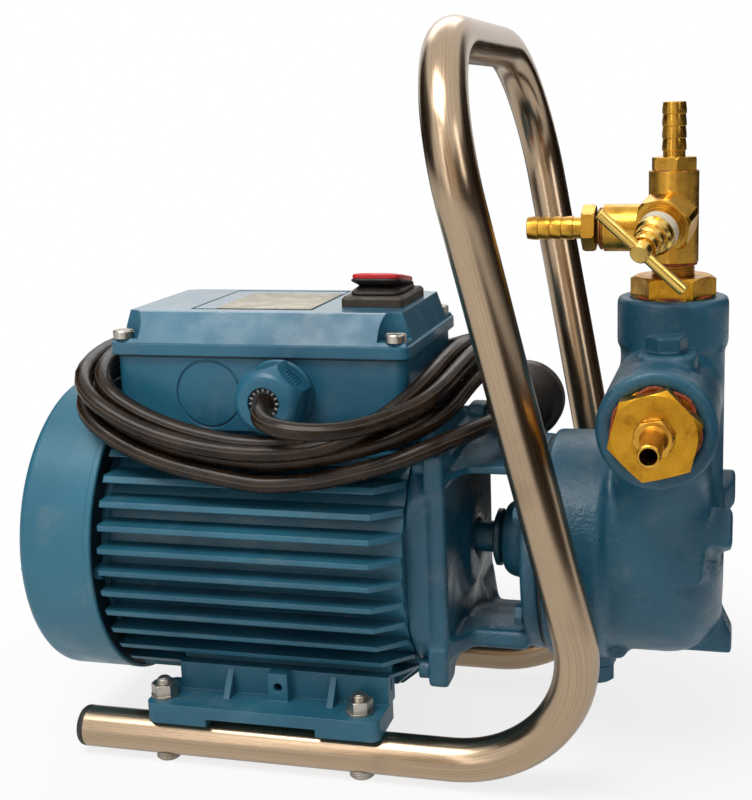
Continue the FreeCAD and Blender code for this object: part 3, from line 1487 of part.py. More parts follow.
def barbed_tail(base, axis, length, thread_l):
    """A hose tail: thread, hexagon and a spigot with sharp ridges that grip the hose."""
    hexa = hexagon(tail_hex_af, tail_hex_t, base, axis, 10)
    thread = cylinder(nipple_r - 1 - slip_gap, thread_l, base - axis * thread_l, axis)
    spigot_l = length - tail_hex_t
    core = hose_r - barb_step
    profile = [(0, 0), (0, core)]
    count = int((spigot_l - 1) // barb_pitch)
    for k in range(count):
        a = spigot_l - (count - k) * barb_pitch
        profile += [(a, core), (a, hose_r), (a + barb_pitch * 0.45, hose_r), (a + barb_pitch - 0.01, core)]
    profile += [(spigot_l, core), (spigot_l, 0)]
    spigot = turned(profile, base + axis * tail_hex_t, axis)
    return spigot_bore(fuse([hexa, thread, spigot]), base, axis, length, thread_l, fitting_bore_r)


def report_cord(name, route, r, closed=False):
    """Prints a cord's arc radii and how its volume compares with section times length."""
    radii = easy_radii(route, closed)
    count = len(route)
    length = sum((route[(i + 1) % count] - route[i]).Length for i in range(count if closed else count - 1))
    arcs = corner_arcs(route, radii, closed)
    length += sum(radii[i] * (arc[4] - 2 * math.tan(arc[4] / 2)) for i, arc in arcs.items())
    solid = tube_along(route, radii, r, closed)
    ratio = solid.Volume / (math.pi * r * r * length)
    print(name, "radii", [round(radii[i], 1) for i in arcs], "volume ratio", round(ratio, 4))


def rear_bearing():
    return bearing(rear_bearing_x())


def front_bearing():
    return bearing(front_bearing_x())


NODES = (tube_frame, tube_end_plugs, foot_bolts, foot_washers, foot_nuts, motor_housing, stator_core,
         stator_windings, motor_shaft, rotor_core, rear_end_shield, drive_end_shield, cooling_fan,
         fan_cowl, cowl_screws, terminal_box, lid_gasket, box_lid, lid_screws, cable_gland_body, gland_nut,
         gland_seal, terminal_block, run_capacitor, switch_base, switch_boot, switch_rocker,
         lantern_bracket, lantern_screws, casing_screws, casing_gasket, pump_casing, filling_plug,
         drain_plug, impeller, impeller_nut, seal_seat, seal_head, flinger, suction_bushing,
         suction_hose_tail, discharge_bushing, tee_nipple, tee_body, top_hose_tail, side_hose_tail,
         valve_bonnet, valve_spindle, t_bar, valve_needle, cord_lead, cord_coil, cord_tail, mains_plug,
         rear_bearing, front_bearing)


def main():
    os.makedirs("parts", exist_ok=True)
    shapes = {make.__name__: make() for make in NODES}
    box = FreeCAD.BoundBox()
    for name, shape in shapes.items():
        if name not in CORD_NODES:
            box.add(shape.optimalBoundingBox(False))
    origin = V(box.Center.x, box.Center.y, box.ZMin)
    for name, shape in shapes.items():
        shape.translate(-origin)
        shape.exportStep(f"parts/{name}.step")
    report_cord("lead", lead_route(), cable_r)
    report_cord("tail", tail_route(), cable_r)
    report_cord("coil", coil_route(), coil_r, True)
    print("origin in the modelling frame", [round(c, 4) for c in origin])


main()
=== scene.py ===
"""Looks of a portable chemical pump: finned motor, cast pump end, brass fittings, bent tube frame and cord.

Lengths in the sizes below are millimetres in the maker's frame: x along the shaft towards the pump with 0 at
the middle of the foot bolts, y to the far side, z up with 0 at the underside of the feet. place() turns
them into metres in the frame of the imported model.
"""
from __future__ import annotations

import logging
import math
from dataclasses import dataclass, field
from enum import Enum
from typing import Callable, Iterable, Sequence, Union

import bmesh
import bpy
from mathutils import Matrix, Vector


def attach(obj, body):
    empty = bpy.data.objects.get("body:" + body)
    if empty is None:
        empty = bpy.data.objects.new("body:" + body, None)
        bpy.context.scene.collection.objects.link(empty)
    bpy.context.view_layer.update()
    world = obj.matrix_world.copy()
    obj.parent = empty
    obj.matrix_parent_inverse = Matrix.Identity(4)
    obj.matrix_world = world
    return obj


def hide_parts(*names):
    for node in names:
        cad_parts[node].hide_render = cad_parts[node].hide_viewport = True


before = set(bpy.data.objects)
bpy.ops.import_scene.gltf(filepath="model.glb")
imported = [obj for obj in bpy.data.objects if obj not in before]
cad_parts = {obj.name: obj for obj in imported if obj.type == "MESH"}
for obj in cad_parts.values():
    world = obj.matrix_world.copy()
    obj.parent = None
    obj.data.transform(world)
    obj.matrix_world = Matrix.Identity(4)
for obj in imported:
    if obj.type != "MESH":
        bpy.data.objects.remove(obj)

LOG = logging.getLogger("pump")
ORIGIN = Vector((45.9, 0.0, -20.2))
BODY = "body"
LID_TOP_M = 0.197
Number = Union[float, "Link"]
Colour = tuple[float, float, float]


def place(x: float, y: float, z: float) -> Vector:
    """Turn a point in the maker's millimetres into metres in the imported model's frame."""
    return (Vector((x, y, z)) - ORIGIN) / 1000.0


def shade(text: str) -> Colour:
    """Turn a colour written as six hexadecimal digits into linear red, green and blue."""
    parts = [int(text[i:i + 2], 16) / 255 for i in (0, 2, 4)]
    red, green, blue = (c / 12.92 if c <= 0.04045 else ((c + 0.055) / 1.055) ** 2.4 for c in parts)
    return red, green, blue


# Shader maths


class Axis(Enum):
    """A coordinate axis, by its place in a vector."""

    X = 0
    Y = 1
    Z = 2


class Link:
    """A shader socket that takes part in arithmetic, adding one Math node for each operation."""

    def __init__(self, graph: "Graph", socket: bpy.types.NodeSocket) -> None:
        """Wrap an output socket of a node in graph."""
        self.graph = graph
        self.socket = socket

    def _math(self, operation: str, *values: Number) -> "Link":
        """Join values through one Math node and return its result."""
        return self.graph.node("ShaderNodeMath", {"operation": operation}, list(values))

    def __add__(self, other: Number) -> "Link":
        """Sum."""
        return self._math("ADD", self, other)

    __radd__ = __add__

    def __sub__(self, other: Number) -> "Link":
        """Difference."""
        return self._math("SUBTRACT", self, other)

    def __rsub__(self, other: Number) -> "Link":
        """Difference from a plain number."""
        return self._math("SUBTRACT", other, self)

    def __mul__(self, other: Number) -> "Link":
        """Product."""
        return self._math("MULTIPLY", self, other)

    __rmul__ = __mul__

    def sine(self) -> "Link":
        """Sine of the value in radians."""
        return self._math("SINE", self)

    def magnitude(self) -> "Link":
        """Distance from zero."""
        return self._math("ABSOLUTE", self)

    def ramp(self, low: float, high: float, start: float = 0.0, end: float = 1.0) -> "Link":
        """Map low..high onto start..end, held at the ends.

        Args:
            low: value that gives start.
            high: value that gives end.
            start: result at low.
            end: result at high.

        Returns:
            The mapped value.
        """
        return self.graph.node("ShaderNodeMapRange", {"clamp": True, "interpolation_type": "SMOOTHSTEP"},
                               {"Value": self, "From Min": low, "From Max": high,
                                "To Min": start, "To Max": end})


class Graph:
    """The node tree of one material, with the few nodes that its finishes use."""

    def __init__(self, name: str) -> None:
        """Make an empty material called name."""
        self.material = bpy.data.materials.new(name)
        self.material.use_nodes = True
        self.tree = self.material.node_tree
        self.tree.nodes.clear()

    def node(self, kind: str, settings: dict | None = None, values: dict | list | None = None,
             output: str | int = 0) -> Link:
        """Add a node.

        Args:
            kind: the node's type.
            settings: attributes set before the sockets, such as operation.
            values: numbers, colours or links for its sockets, by name or in order.
            output: name or number of the output to return.

        Returns:
            The chosen output.
        """
        made = self.tree.nodes.new(kind)
        for key, value in (settings or {}).items():
            setattr(made, key, value)
        pairs = values.items() if isinstance(values, dict) else enumerate(values or [])
        for key, value in pairs:
            socket = made.inputs[key]
            if isinstance(value, Link):
                self.tree.links.new(value.socket, socket)
            elif isinstance(value, tuple) and socket.type == "RGBA":
                socket.default_value = (*value, 1.0)
            else:
                socket.default_value = value
        return Link(self, made.outputs[output])

    def spot(self) -> Link:
        """Position in the piece's own coordinates, which are the frame's."""
        return self.node("ShaderNodeTexCoord", output="Object")

    def part(self, vector: Link, axis: Axis) -> Link:
        """One coordinate of a vector."""
        return self.node("ShaderNodeSeparateXYZ", {}, [vector], axis.value)

    def noise(self, scale: float, detail: float = 3.0, rough: float = 0.55, at: Link | None = None) -> Link:
        """Soft noise with a mean near one half.

        Args:
            scale: cells per metre.
            detail: how many finer layers are added.
            rough: how strong the finer layers are.
            at: coordinates, the object's own when left out.

        Returns:
            The noise value.
        """
        return self.node("ShaderNodeTexNoise", {}, {"Vector": at or self.spot(), "Scale": scale,
                                                    "Detail": detail, "Roughness": rough}, "Fac")

    def blend(self, mask: Number, low: Link | Colour, high: Link | Colour) -> Link:
        """Mix two colours by a mask."""
        made = self.tree.nodes.new("ShaderNodeMix")
        made.data_type = "RGBA"
        for index, value in ((0, mask), (6, low), (7, high)):
            if isinstance(value, Link):
                self.tree.links.new(value.socket, made.inputs[index])
            elif isinstance(value, tuple):
                made.inputs[index].default_value = (*value, 1.0)
            else:
                made.inputs[index].default_value = value
        return Link(self, made.outputs[2])

    def rounded(self, radius_mm: float) -> Link:
        """Normal with the mesh's edges rounded off by radius_mm."""
        return self.node("ShaderNodeBevel", {"samples": 6}, {"Radius": radius_mm / 1000})

    def bump(self, height: Link, strength: float, depth_mm: float, under: Link | None = None) -> Link:
        """Normal bent by a height.

        Args:
            height: the relief, 0 to 1.
            strength: share of the bump that is used.
            depth_mm: height of 1 in millimetres.
            under: a normal to start from.

        Returns:
            The bent normal.
        """
        values: dict = {"Strength": strength, "Distance": depth_mm / 1000, "Height": height}
        if under is not None:
            values["Normal"] = under
        return self.node("ShaderNodeBump", {}, values)

    def surface(self, **values: Number | Colour | Link) -> bpy.types.Material:
        """Finish the material with a Principled shader; underscores in names stand for spaces."""
        shader = self.node("ShaderNodeBsdfPrincipled", {},
                           {key.replace("_", " "): value for key, value in values.items()})
        end = self.tree.nodes.new("ShaderNodeOutputMaterial")
        self.tree.links.new(shader.socket, end.inputs["Surface"])
        return self.material


# Finishes


@dataclass(frozen=True)
class Paint:
    """Air-dried enamel over a casting or a pressing."""

    name: str
    colour: str
    deep: str
    worn: str
    round_mm: float = 1.0
    grain_mm: float = 0.05
    lumps_mm: float = 0.0
    gloss: float = 0.36
    coat: float = 0.0

    def material(self) -> bpy.types.Material:
        """Build the paint: soft tone shifts, orange peel, cast grain, dust specks and softened edges."""
        g = Graph(self.name)
        tone = g.noise(16, 3).ramp(0.30, 0.72)
        colour = g.blend(tone, shade(self.deep), shade(self.colour))
        speck = g.noise(1500, 2, 0.7).ramp(0.64, 0.72, 0.0, 0.35)
        dust = g.noise(55, 4, 0.65).ramp(0.52, 0.75, 0.0, 0.16)
        colour = g.blend(speck, colour, shade(self.worn))
        colour = g.blend(dust, colour, shade("8d8f8c"))
        relief = g.noise(420, 3, 0.6) * 0.6 + g.noise(1700, 2) * 0.4
        normal = g.bump(relief, 0.55, self.grain_mm * 6, g.rounded(self.round_mm))
        if self.lumps_mm:
            normal = g.bump(g.noise(75, 2), 0.5, self.lumps_mm * 4, normal)
            normal = g.bump(g.noise(620, 2) * g.noise(34, 2).ramp(0.5, 0.68), 0.7, 0.7, normal)
        rough = g.noise(90, 3).ramp(0.3, 0.7, self.gloss - 0.06, self.gloss + 0.10)
        height = g.part(g.spot(), Axis.Z)
        sheen = height.ramp(LID_TOP_M - 0.0006, LID_TOP_M - 0.0002, 0.0, self.coat) if self.coat else 0.0
        return g.surface(Base_Color=colour, Roughness=rough, Normal=normal, Specular_IOR_Level=0.42,
                         Coat_Weight=sheen, Coat_Roughness=0.14)


@dataclass(frozen=True)
class Stainless:
    """Tube polished lengthwise on a belt, which leaves fine streaks; its brown tint is painted reflection of
    a brown room.
    """

    name: str
    # this brown tint is painted reflection of a brown room, not the steel's own colour
    colour: str = "c2ab90"

    def material(self) -> bpy.types.Material:
        """Build the metal with streaks along the tube's own length from its UV map."""
        g = Graph(self.name)
        along = g.node("ShaderNodeTexCoord", output="UV")
        lane = g.node("ShaderNodeMapping", {}, {"Vector": along, "Scale": (2.0, 60.0, 1.0)})
        fine = g.noise(6.0, 5, 0.7, lane)
        patch = g.noise(30, 3)
        # the brown in these colours is painted reflection of a brown room; the light and dark streaks are the
        # polish
        colour = g.blend(fine.ramp(0.3, 0.7), shade("9a846c"), shade(self.colour))
        colour = g.blend(patch.ramp(0.55, 0.8, 0.0, 0.35), colour, shade("7a6450"))
        rough = fine.ramp(0.25, 0.75, 0.17, 0.29)
        normal = g.bump(fine, 0.25, 0.05)
        dents = g.bump(g.noise(28, 1), 0.12, 1.5, normal)
        return g.surface(Base_Color=colour, Metallic=1.0, Roughness=rough, Normal=dents, Anisotropic=0.3)


@dataclass(frozen=True)
class Metal:
    """A bare or plated metal with patches of tarnish."""

    name: str
    colour: str
    tarnish: str
    gloss: float = 0.26
    round_mm: float = 0.35
    amount: float = 0.5
    rings_per_m: float = 0.0
    axis: Axis = Axis.Y

    def material(self) -> bpy.types.Material:
        """Build the metal: tarnish patches, tool marks or turned rings, pits and softened edges."""
        g = Graph(self.name)
        stain = g.noise(95, 5, 0.65).ramp(0.46, 0.74, 0.0, self.amount)
        fleck = g.noise(700, 3, 0.7).ramp(0.63, 0.72, 0.0, self.amount)
        colour = g.blend(stain, shade(self.colour), shade(self.tarnish))
        colour = g.blend(fleck, colour, shade("4a3010"))
        marks = g.noise(1300, 3, 0.7)
        normal = g.bump(marks, 0.22, 0.06, g.rounded(self.round_mm))
        if self.rings_per_m:
            wave = (g.part(g.spot(), self.axis) * (self.rings_per_m * 2 * math.pi)).sine()
            normal = g.bump(wave, 0.5, 0.25, normal)
        rough = g.noise(160, 3).ramp(0.3, 0.7, self.gloss - 0.06, self.gloss + 0.12)
        return g.surface(Base_Color=colour, Metallic=1.0, Roughness=rough, Normal=normal)


@dataclass(frozen=True)
class Plastic:
    """Moulded plastic or rubber with a fine skin."""

    name: str
    colour: str
    bloom: str
    gloss: float = 0.5
    skin_mm: float = 0.03
    bloom_share: float = 0.4

    def material(self) -> bpy.types.Material:
        """Build the moulding: bloom patches, dust specks and a fine skin."""
        g = Graph(self.name)
        patch = g.noise(120, 4, 0.6).ramp(0.42, 0.72, 0.0, self.bloom_share)
        speck = g.noise(1600, 2, 0.7).ramp(0.62, 0.70, 0.0, 0.35)
        colour = g.blend(patch, shade(self.colour), shade(self.bloom))
        colour = g.blend(speck, colour, shade(self.bloom))
        normal = g.bump(g.noise(1900, 3, 0.6), 0.5, self.skin_mm * 4, g.rounded(0.4))
        rough = g.noise(200, 3).ramp(0.3, 0.7, self.gloss - 0.07, self.gloss + 0.12)
        return g.surface(Base_Color=colour, Roughness=rough, Normal=normal)


@dataclass(frozen=True)
class Sheath:
    """The cord's rubber sheath, with the two fine raised lines that run along it."""

    name: str
    ridges: tuple[float, float] = (0.30, 0.80)
    ridge_half: float = 0.022

    def material(self) -> bpy.types.Material:
        """Build the sheath: brown bloom, specks and pale ridges from the curve's own UV map."""
        g = Graph(self.name)
        around = g.part(g.node("ShaderNodeTexCoord", output="UV"), Axis.Y)
        near, far = ((around - at).magnitude().ramp(0.0, self.ridge_half, 1.0, 0.0) for at in self.ridges)
        ridge = near + far
        cloud = g.noise(60, 4, 0.6).ramp(0.35, 0.7)
        colour = g.blend(cloud, shade("19110b"), shade("33251a"))
        speck = g.noise(1300, 3, 0.75).ramp(0.58, 0.70, 0.0, 0.3)
        colour = g.blend(speck, colour, shade("5c4c3a"))
        colour = g.blend(ridge * 0.3, colour, shade("7d6c5a"))
        relief = g.noise(900, 3) * 0.12 + ridge * 0.6
        return g.surface(Base_Color=colour, Roughness=g.noise(140, 3).ramp(0.3, 0.7, 0.22, 0.33),
                         Normal=g.bump(relief, 0.6, 0.3), Specular_IOR_Level=0.22)


@dataclass(frozen=True)
class Sealant:
    """Thread sealant squeezed out of the joints and left to dry."""

    name: str

    def material(self) -> bpy.types.Material:
        """Build the sealant: uneven orange, matt and lumpy."""
        g = Graph(self.name)
        patch = g.noise(500, 4, 0.65).ramp(0.35, 0.7)
        colour = g.blend(patch, shade("6e3212"), shade("a9481d"))
        return g.surface(Base_Color=colour, Roughness=g.noise(300).ramp(0.3, 0.7, 0.45, 0.65),
                         Normal=g.bump(g.noise(650, 3), 0.8, 0.5))


CAST = Paint("cast_paint", "235d74", "1a4b61", "5d93a3", 1.2, 0.10, 0.12, 0.32)
SMOOTH = Paint("smooth_paint", "286a84", "215d77", "6ba0b0", 0.8, 0.03, 0.0, 0.34, 0.8)
COWL = Paint("cowl_paint", "2f7087", "27647b", "6ba0b0", 0.8, 0.035)
FINNED = Paint("finned_paint", "2b6a80", "1f566c", "74a5b2", 0.7, 0.05)
# a flat dark paint for painted shade: the dark ring in the cowl's mouth
PAINTED_SHADE = Paint("painted_shade_paint", "12252e", "0d1c24", "2a4450", 0.5, 0.05)
FLINGER = Paint("flinger_paint", "1e4a5c", "173d4e", "4d7c8a", 0.5, 0.04)
TUBE = Stainless("belt_polished_tube")
BRASS = Metal("machined_brass", "d3a040", "9c6c26", 0.28, 0.3, 0.5)
TURNED_BRASS = Metal("turned_brass", "c8922a", "7e5216", 0.28, 0.3, 0.7)
BRIGHT_BRASS = Metal("bright_brass", "eac56c", "b98e3c", 0.24, 0.3, 0.3)
THREADED_BRASS = Metal("threaded_brass", "b98a3c", "7a4a1c", 0.34, 0.1, 0.7)
STEEL = Metal("plated_steel", "bdb7ad", "7d6a55", 0.30, 0.3, 0.55)
THREADED_STEEL = Metal("threaded_steel", "b0aaa2", "74604b", 0.34, 0.1, 0.6, 1000.0, Axis.Z)
DARK_STEEL = Metal("laminated_steel", "55534f", "3a3632", 0.45, 0.2, 0.5)
COPPER = Metal("varnished_winding", "a8613a", "5c2d18", 0.35, 0.3, 0.5)
BLACK = Plastic("black_moulding", "1f1b19", "3d352f", 0.5)
BOX_PLASTIC = Plastic("terminal_moulding", "d9d4c6", "b7ae9a", 0.5)
GREY = Plastic("grey_moulding", "8f9696", "b5bbba", 0.45)
BOOT = Plastic("boot_rubber", "1c1612", "3d3129", 0.46, 0.02)
BROWN_FRAME = Plastic("switch_frame_moulding", "32281f", "4c3f32", 0.55)
RED = Plastic("red_rocker", "c8141b", "d8443f", 0.4, 0.01, 0.2)
PLUG = Plastic("plug_rubber", "1d1816", "3b322c", 0.42, 0.04)
LABEL = Plastic("blank_label", "a9a08c", "d6cdb8", 0.35, 0.01, 0.8)
PAPER = Plastic("paper_band", "d9d0ba", "b3a98e", 0.5, 0.01, 0.8)
SHEATH = Sheath("cord_sheath")
SEALANT = Sealant("thread_sealant")

CAD_FINISHES: dict[str, object] = {
    "tube_end_plugs": BLACK, "foot_bolts": THREADED_STEEL, "foot_washers": STEEL, "foot_nuts": STEEL,
    "motor_housing": FINNED, "stator_core": DARK_STEEL, "stator_windings": COPPER, "motor_shaft": CAST,
    "rotor_core": DARK_STEEL, "rear_end_shield": CAST, "drive_end_shield": CAST, "cooling_fan": BLACK,
    "fan_cowl": COWL, "cowl_screws": CAST, "terminal_box": SMOOTH, "lid_gasket": BLACK, "box_lid": SMOOTH,
    "lid_screws": STEEL, "cable_gland_body": SMOOTH, "gland_nut": SMOOTH, "gland_seal": BOOT,
    "terminal_block": BOX_PLASTIC, "run_capacitor": BLACK, "switch_base": BROWN_FRAME, "switch_boot": BOOT,
    "switch_rocker": RED, "lantern_bracket": CAST, "lantern_screws": CAST, "casing_screws": CAST,
    "casing_gasket": BLACK, "pump_casing": CAST, "filling_plug": CAST, "drain_plug": CAST,
    "impeller": BRASS, "impeller_nut": STEEL, "seal_seat": BLACK, "seal_head": BLACK, "flinger": FLINGER,
    "suction_bushing": TURNED_BRASS, "suction_hose_tail": BRASS, "discharge_bushing": TURNED_BRASS,
    "tee_nipple": THREADED_BRASS, "tee_body": BRASS, "top_hose_tail": BRASS, "side_hose_tail": BRASS,
    "valve_bonnet": BRIGHT_BRASS, "valve_spindle": BRIGHT_BRASS, "t_bar": BRIGHT_BRASS,
    "valve_needle": BRASS, "mains_plug": PLUG, "rear_bearing": STEEL, "front_bearing": STEEL,
    "tube_frame": TUBE, "cord_lead": SHEATH, "cord_coil": SHEATH, "cord_tail": SHEATH,
}


class Wardrobe:
    """Keeps one material for each finish."""

    def __init__(self) -> None:
        """Start with no material made."""
        self.made: dict[str, bpy.types.Material] = {}

    def get(self, finish: object) -> bpy.types.Material:
        """Return the finish's material, built once."""
        if finish.name not in self.made:
            self.made[finish.name] = finish.material()
        return self.made[finish.name]

    def dress(self, piece: bpy.types.Object, finish: object) -> None:
        """Give a piece one finish all over."""
        piece.data.materials.clear()
        piece.data.materials.append(self.get(finish))


WARDROBE = Wardrobe()


# Mesh helpers


def add_piece(name: str, mesh: bmesh.types.BMesh, finish: object, body: str = BODY,
              replaces: Iterable[str] = (), smooth_deg: float = 35.0) -> bpy.types.Object:
    """Turn a bmesh into a finished piece that rides on a body.

    Args:
        name: the piece's name.
        mesh: its shape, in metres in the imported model's frame; freed here.
        finish: its finish.
        body: the CAD body that it rides on.
        replaces: CAD nodes that it stands for.
        smooth_deg: edges sharper than this stay crisp.

    Returns:
        The new object.
    """
    bmesh.ops.remove_doubles(mesh, verts=mesh.verts, dist=1e-6)
    bmesh.ops.recalc_face_normals(mesh, faces=mesh.faces)
    limit = math.radians(smooth_deg)
    for edge in mesh.edges:
        edge.smooth = len(edge.link_faces) == 2 and edge.calc_face_angle(0.0) < limit
    for face in mesh.faces:
        face.smooth = True
    data = bpy.data.meshes.new(name)
    mesh.to_mesh(data)
    mesh.free()
    piece = bpy.data.objects.new(name, data)
    bpy.context.scene.collection.objects.link(piece)
    WARDROBE.dress(piece, finish)
    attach(piece, body)
    if replaces:
        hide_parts(*replaces)
    LOG.info("piece %s: %d faces", name, len(data.polygons))
    return piece


def axis_frame(base: Vector, axis: Vector) -> Matrix:
    """Matrix that stands the z axis on base and points it along axis."""
    return Matrix.Translation(base) @ axis.to_track_quat("Z", "Y").to_matrix().to_4x4()


def lathe(mesh: bmesh.types.BMesh, profile: Sequence[tuple[float, float]], base: Vector, axis: Vector,
          steps: int = 48) -> None:
    """Spin a profile about an axis.

    Args:
        mesh: receives the turned shape.
        profile: (distance along the axis, radius) in millimetres.
        base: where the distances start, in metres.
        axis: unit direction of the axis.
        steps: how many faces go round.
    """
    turned = bmesh.new()
    verts = [turned.verts.new((r / 1000, 0.0, a / 1000)) for a, r in profile]
    edges = [turned.edges.new(pair) for pair in zip(verts, verts[1:])]
    bmesh.ops.spin(turned, geom=verts + edges, cent=(0, 0, 0), axis=(0, 0, 1), angle=2 * math.pi,
                   steps=steps, use_merge=True)
    bmesh.ops.remove_doubles(turned, verts=turned.verts, dist=1e-7)
    bmesh.ops.transform(turned, matrix=axis_frame(base, axis), verts=turned.verts)
    merge_into(mesh, turned)


def merge_into(target: bmesh.types.BMesh, source: bmesh.types.BMesh) -> None:
    """Move everything in source into target and free source."""
    carrier = bpy.data.meshes.new("carrier")
    source.to_mesh(carrier)
    source.free()
    target.from_mesh(carrier)
    bpy.data.meshes.remove(carrier)


def bar(mesh: bmesh.types.BMesh, size_mm: tuple[float, float, float], matrix: Matrix,
        edge_mm: float = 0.0) -> None:
    """Add a block, its edges rounded, at a placement.

    Args:
        mesh: receives the block.
        size_mm: its three sides.
        matrix: where its centre goes and how it lies.
        edge_mm: radius of its edges.
    """
    block = bmesh.new()
    bmesh.ops.create_cube(block, size=1.0)
    bmesh.ops.scale(block, vec=[s / 1000 for s in size_mm], verts=block.verts)
    if edge_mm:
        bmesh.ops.bevel(block, geom=list(block.edges), offset=edge_mm / 1000, segments=2,
                        affect="EDGES", profile=0.5, material=-1)
    bmesh.ops.transform(block, matrix=matrix, verts=block.verts)
    merge_into(mesh, block)


# Sub-assemblies


@dataclass
class Studio:
    """Camera, pale floor, soft lamps and the cards that metal reflects."""

    eye: Vector = field(default_factory=lambda: Vector((203.43, -542.91, 261.18)))
    yaw: float = -0.248
    pitch: float = -0.198
    roll: float = -0.029
    lens: float = 58.18
    shift: tuple[float, float] = (-0.0675, -0.04375)
    aim: tuple[float, float, float] = (0.0, 0.0, 0.13)
    floor_half: float = 6.0
    fade: tuple[float, float] = (0.12, 0.34)
    near_white: float = 0.80
    mirrored_white: float = 0.4
    room_light: float = 0.21
    lamps: tuple = (
        ("key_lamp", (-0.35, -0.75, 1.6), (1.0, 0.8), 21.0, (1.0, 0.99, 0.97)),
        ("strip_lamp", (-0.6, -1.5, 0.55), (0.14, 1.5), 3.0, (1.0, 0.98, 0.95)),
        ("side_lamp", (1.3, -0.9, 1.0), (0.3, 0.9), 3.5, (1.0, 1.0, 1.0)),
        ("rear_lamp", (-0.4, 1.3, 1.3), (1.2, 0.6), 5.0, (1.0, 1.0, 1.0)),
    )
    cards: tuple = (
        ("front_card", (0.45, -2.6, 0.2), (3.6, 2.4), "5e4e3e"),
        ("left_card", (-2.2, 0.35, 0.5), (3.0, 2.6), "1e1712"),
        ("right_card", (1.9, 1.25, 0.5), (3.0, 2.6), "1e1712"),
        ("near_right_card", (2.1, -1.1, 0.4), (2.4, 2.4), "33271e"),
        ("band_card", (0.16, -2.1, 0.3), (1.2, 2.4), "e4d6c2"),
        ("rear_card", (0.2, 1.2, 0.10), (4.4, 0.44), "2a211b"),
        ("rear_low_card", (0.1, 0.27, 0.045), (0.9, 0.10), "2a211b"),
        ("leg_card", (0.30, -0.20, 0.07), (0.42, 0.14), "2e231a"),
    )

    def facing(self, at: tuple[float, float, float], face: str) -> Matrix:
        """Placement at a point, with one of its own axes turned to the pump."""
        turn = (Vector(self.aim) - Vector(at)).to_track_quat(face, "Y")
        return Matrix.Translation(at) @ turn.to_matrix().to_4x4()

    def camera(self) -> None:
        """Set the camera where the photograph was taken from."""
        ahead = Vector((math.sin(self.yaw) * math.cos(self.pitch), math.cos(self.yaw) * math.cos(self.pitch),
                        math.sin(self.pitch)))
        right = Vector((math.cos(self.yaw), -math.sin(self.yaw), 0.0))
        up = right.cross(ahead)
        across = math.cos(self.roll) * right + math.sin(self.roll) * up
        above = -math.sin(self.roll) * right + math.cos(self.roll) * up
        data = bpy.data.cameras.new("photo_camera")
        data.lens, data.sensor_width, data.sensor_fit = self.lens, 36.0, "AUTO"
        data.shift_x, data.shift_y = self.shift
        data.clip_start, data.clip_end = 0.02, 60.0
        camera = bpy.data.objects.new("photo_camera", data)
        turn = Matrix((across, above, -ahead)).transposed().to_4x4()
        camera.matrix_world = Matrix.Translation(place(*self.eye)) @ turn
        bpy.context.scene.collection.objects.link(camera)
        bpy.context.scene.camera = camera
        LOG.info("camera placed")

    def lamp(self, name: str, at: tuple[float, float, float], size: tuple[float, float], watts: float,
             tint: Colour) -> None:
        """Add an area lamp that faces the pump.

        Args:
            name: the lamp's name.
            at: its place in metres.
            size: its width and height in metres.
            watts: its power.
            tint: its colour.
        """
        data = bpy.data.lights.new(name, "AREA")
        data.shape, data.size, data.size_y = "RECTANGLE", *size
        data.energy, data.color = watts, tint
        lamp = bpy.data.objects.new(name, data)
        lamp.matrix_world = self.facing(at, "-Z")
        bpy.context.scene.collection.objects.link(lamp)

    def card(self, name: str, at: tuple[float, float, float], size: tuple[float, float],
             colour: str) -> None:
        """Add a toned card that only reflections see.

        Args:
            name: the card's name.
            at: its centre in metres; it faces the pump.
            size: its width and height in metres.
            colour: its tone.
        """
        mesh = bmesh.new()
        bmesh.ops.create_grid(mesh, x_segments=1, y_segments=1, size=0.5)
        bmesh.ops.scale(mesh, vec=(size[0], size[1], 1.0), verts=mesh.verts)
        bmesh.ops.transform(mesh, matrix=self.facing(at, "Z"), verts=mesh.verts)
        data = bpy.data.meshes.new(name)
        mesh.to_mesh(data)
        mesh.free()
        card = bpy.data.objects.new(name, data)
        bpy.context.scene.collection.objects.link(card)
        g = Graph(name)
        glow = g.node("ShaderNodeEmission", {}, {"Color": shade(colour), "Strength": 1.0})
        end = g.tree.nodes.new("ShaderNodeOutputMaterial")
        g.tree.links.new(glow.socket, end.inputs["Surface"])
        data.materials.append(g.material)
        for kind in ("camera", "diffuse", "shadow", "transmission", "volume_scatter"):
            setattr(card, f"visible_{kind}", False)

    def floor(self) -> None:
        """Lay a pale floor that keeps the pump's shadow and fades to white away from it."""
        mesh = bmesh.new()
        bmesh.ops.create_grid(mesh, x_segments=1, y_segments=1, size=self.floor_half)
        data = bpy.data.meshes.new("floor")
        mesh.to_mesh(data)
        mesh.free()
        floor = bpy.data.objects.new("floor", data)
        bpy.context.scene.collection.objects.link(floor)
        g = Graph("pale_floor")
        matt = g.node("ShaderNodeBsdfDiffuse", {}, {"Color": (0.93, 0.93, 0.92)})
        white = g.node("ShaderNodeEmission", {}, {"Color": (1.0, 1.0, 1.0), "Strength": 1.0})
        reach = g.node("ShaderNodeVectorMath", {"operation": "LENGTH"}, [g.spot()], "Value")
        path = g.node("ShaderNodeLightPath", output="Is Camera Ray")
        glossy = g.node("ShaderNodeLightPath", output="Is Glossy Ray")
        far = path * reach.ramp(*self.fade, self.near_white, 1.0) + glossy * self.mirrored_white
        mixed = g.node("ShaderNodeMixShader", {}, [far, matt, white])
        end = g.tree.nodes.new("ShaderNodeOutputMaterial")
        g.tree.links.new(mixed.socket, end.inputs["Surface"])
        data.materials.append(g.material)

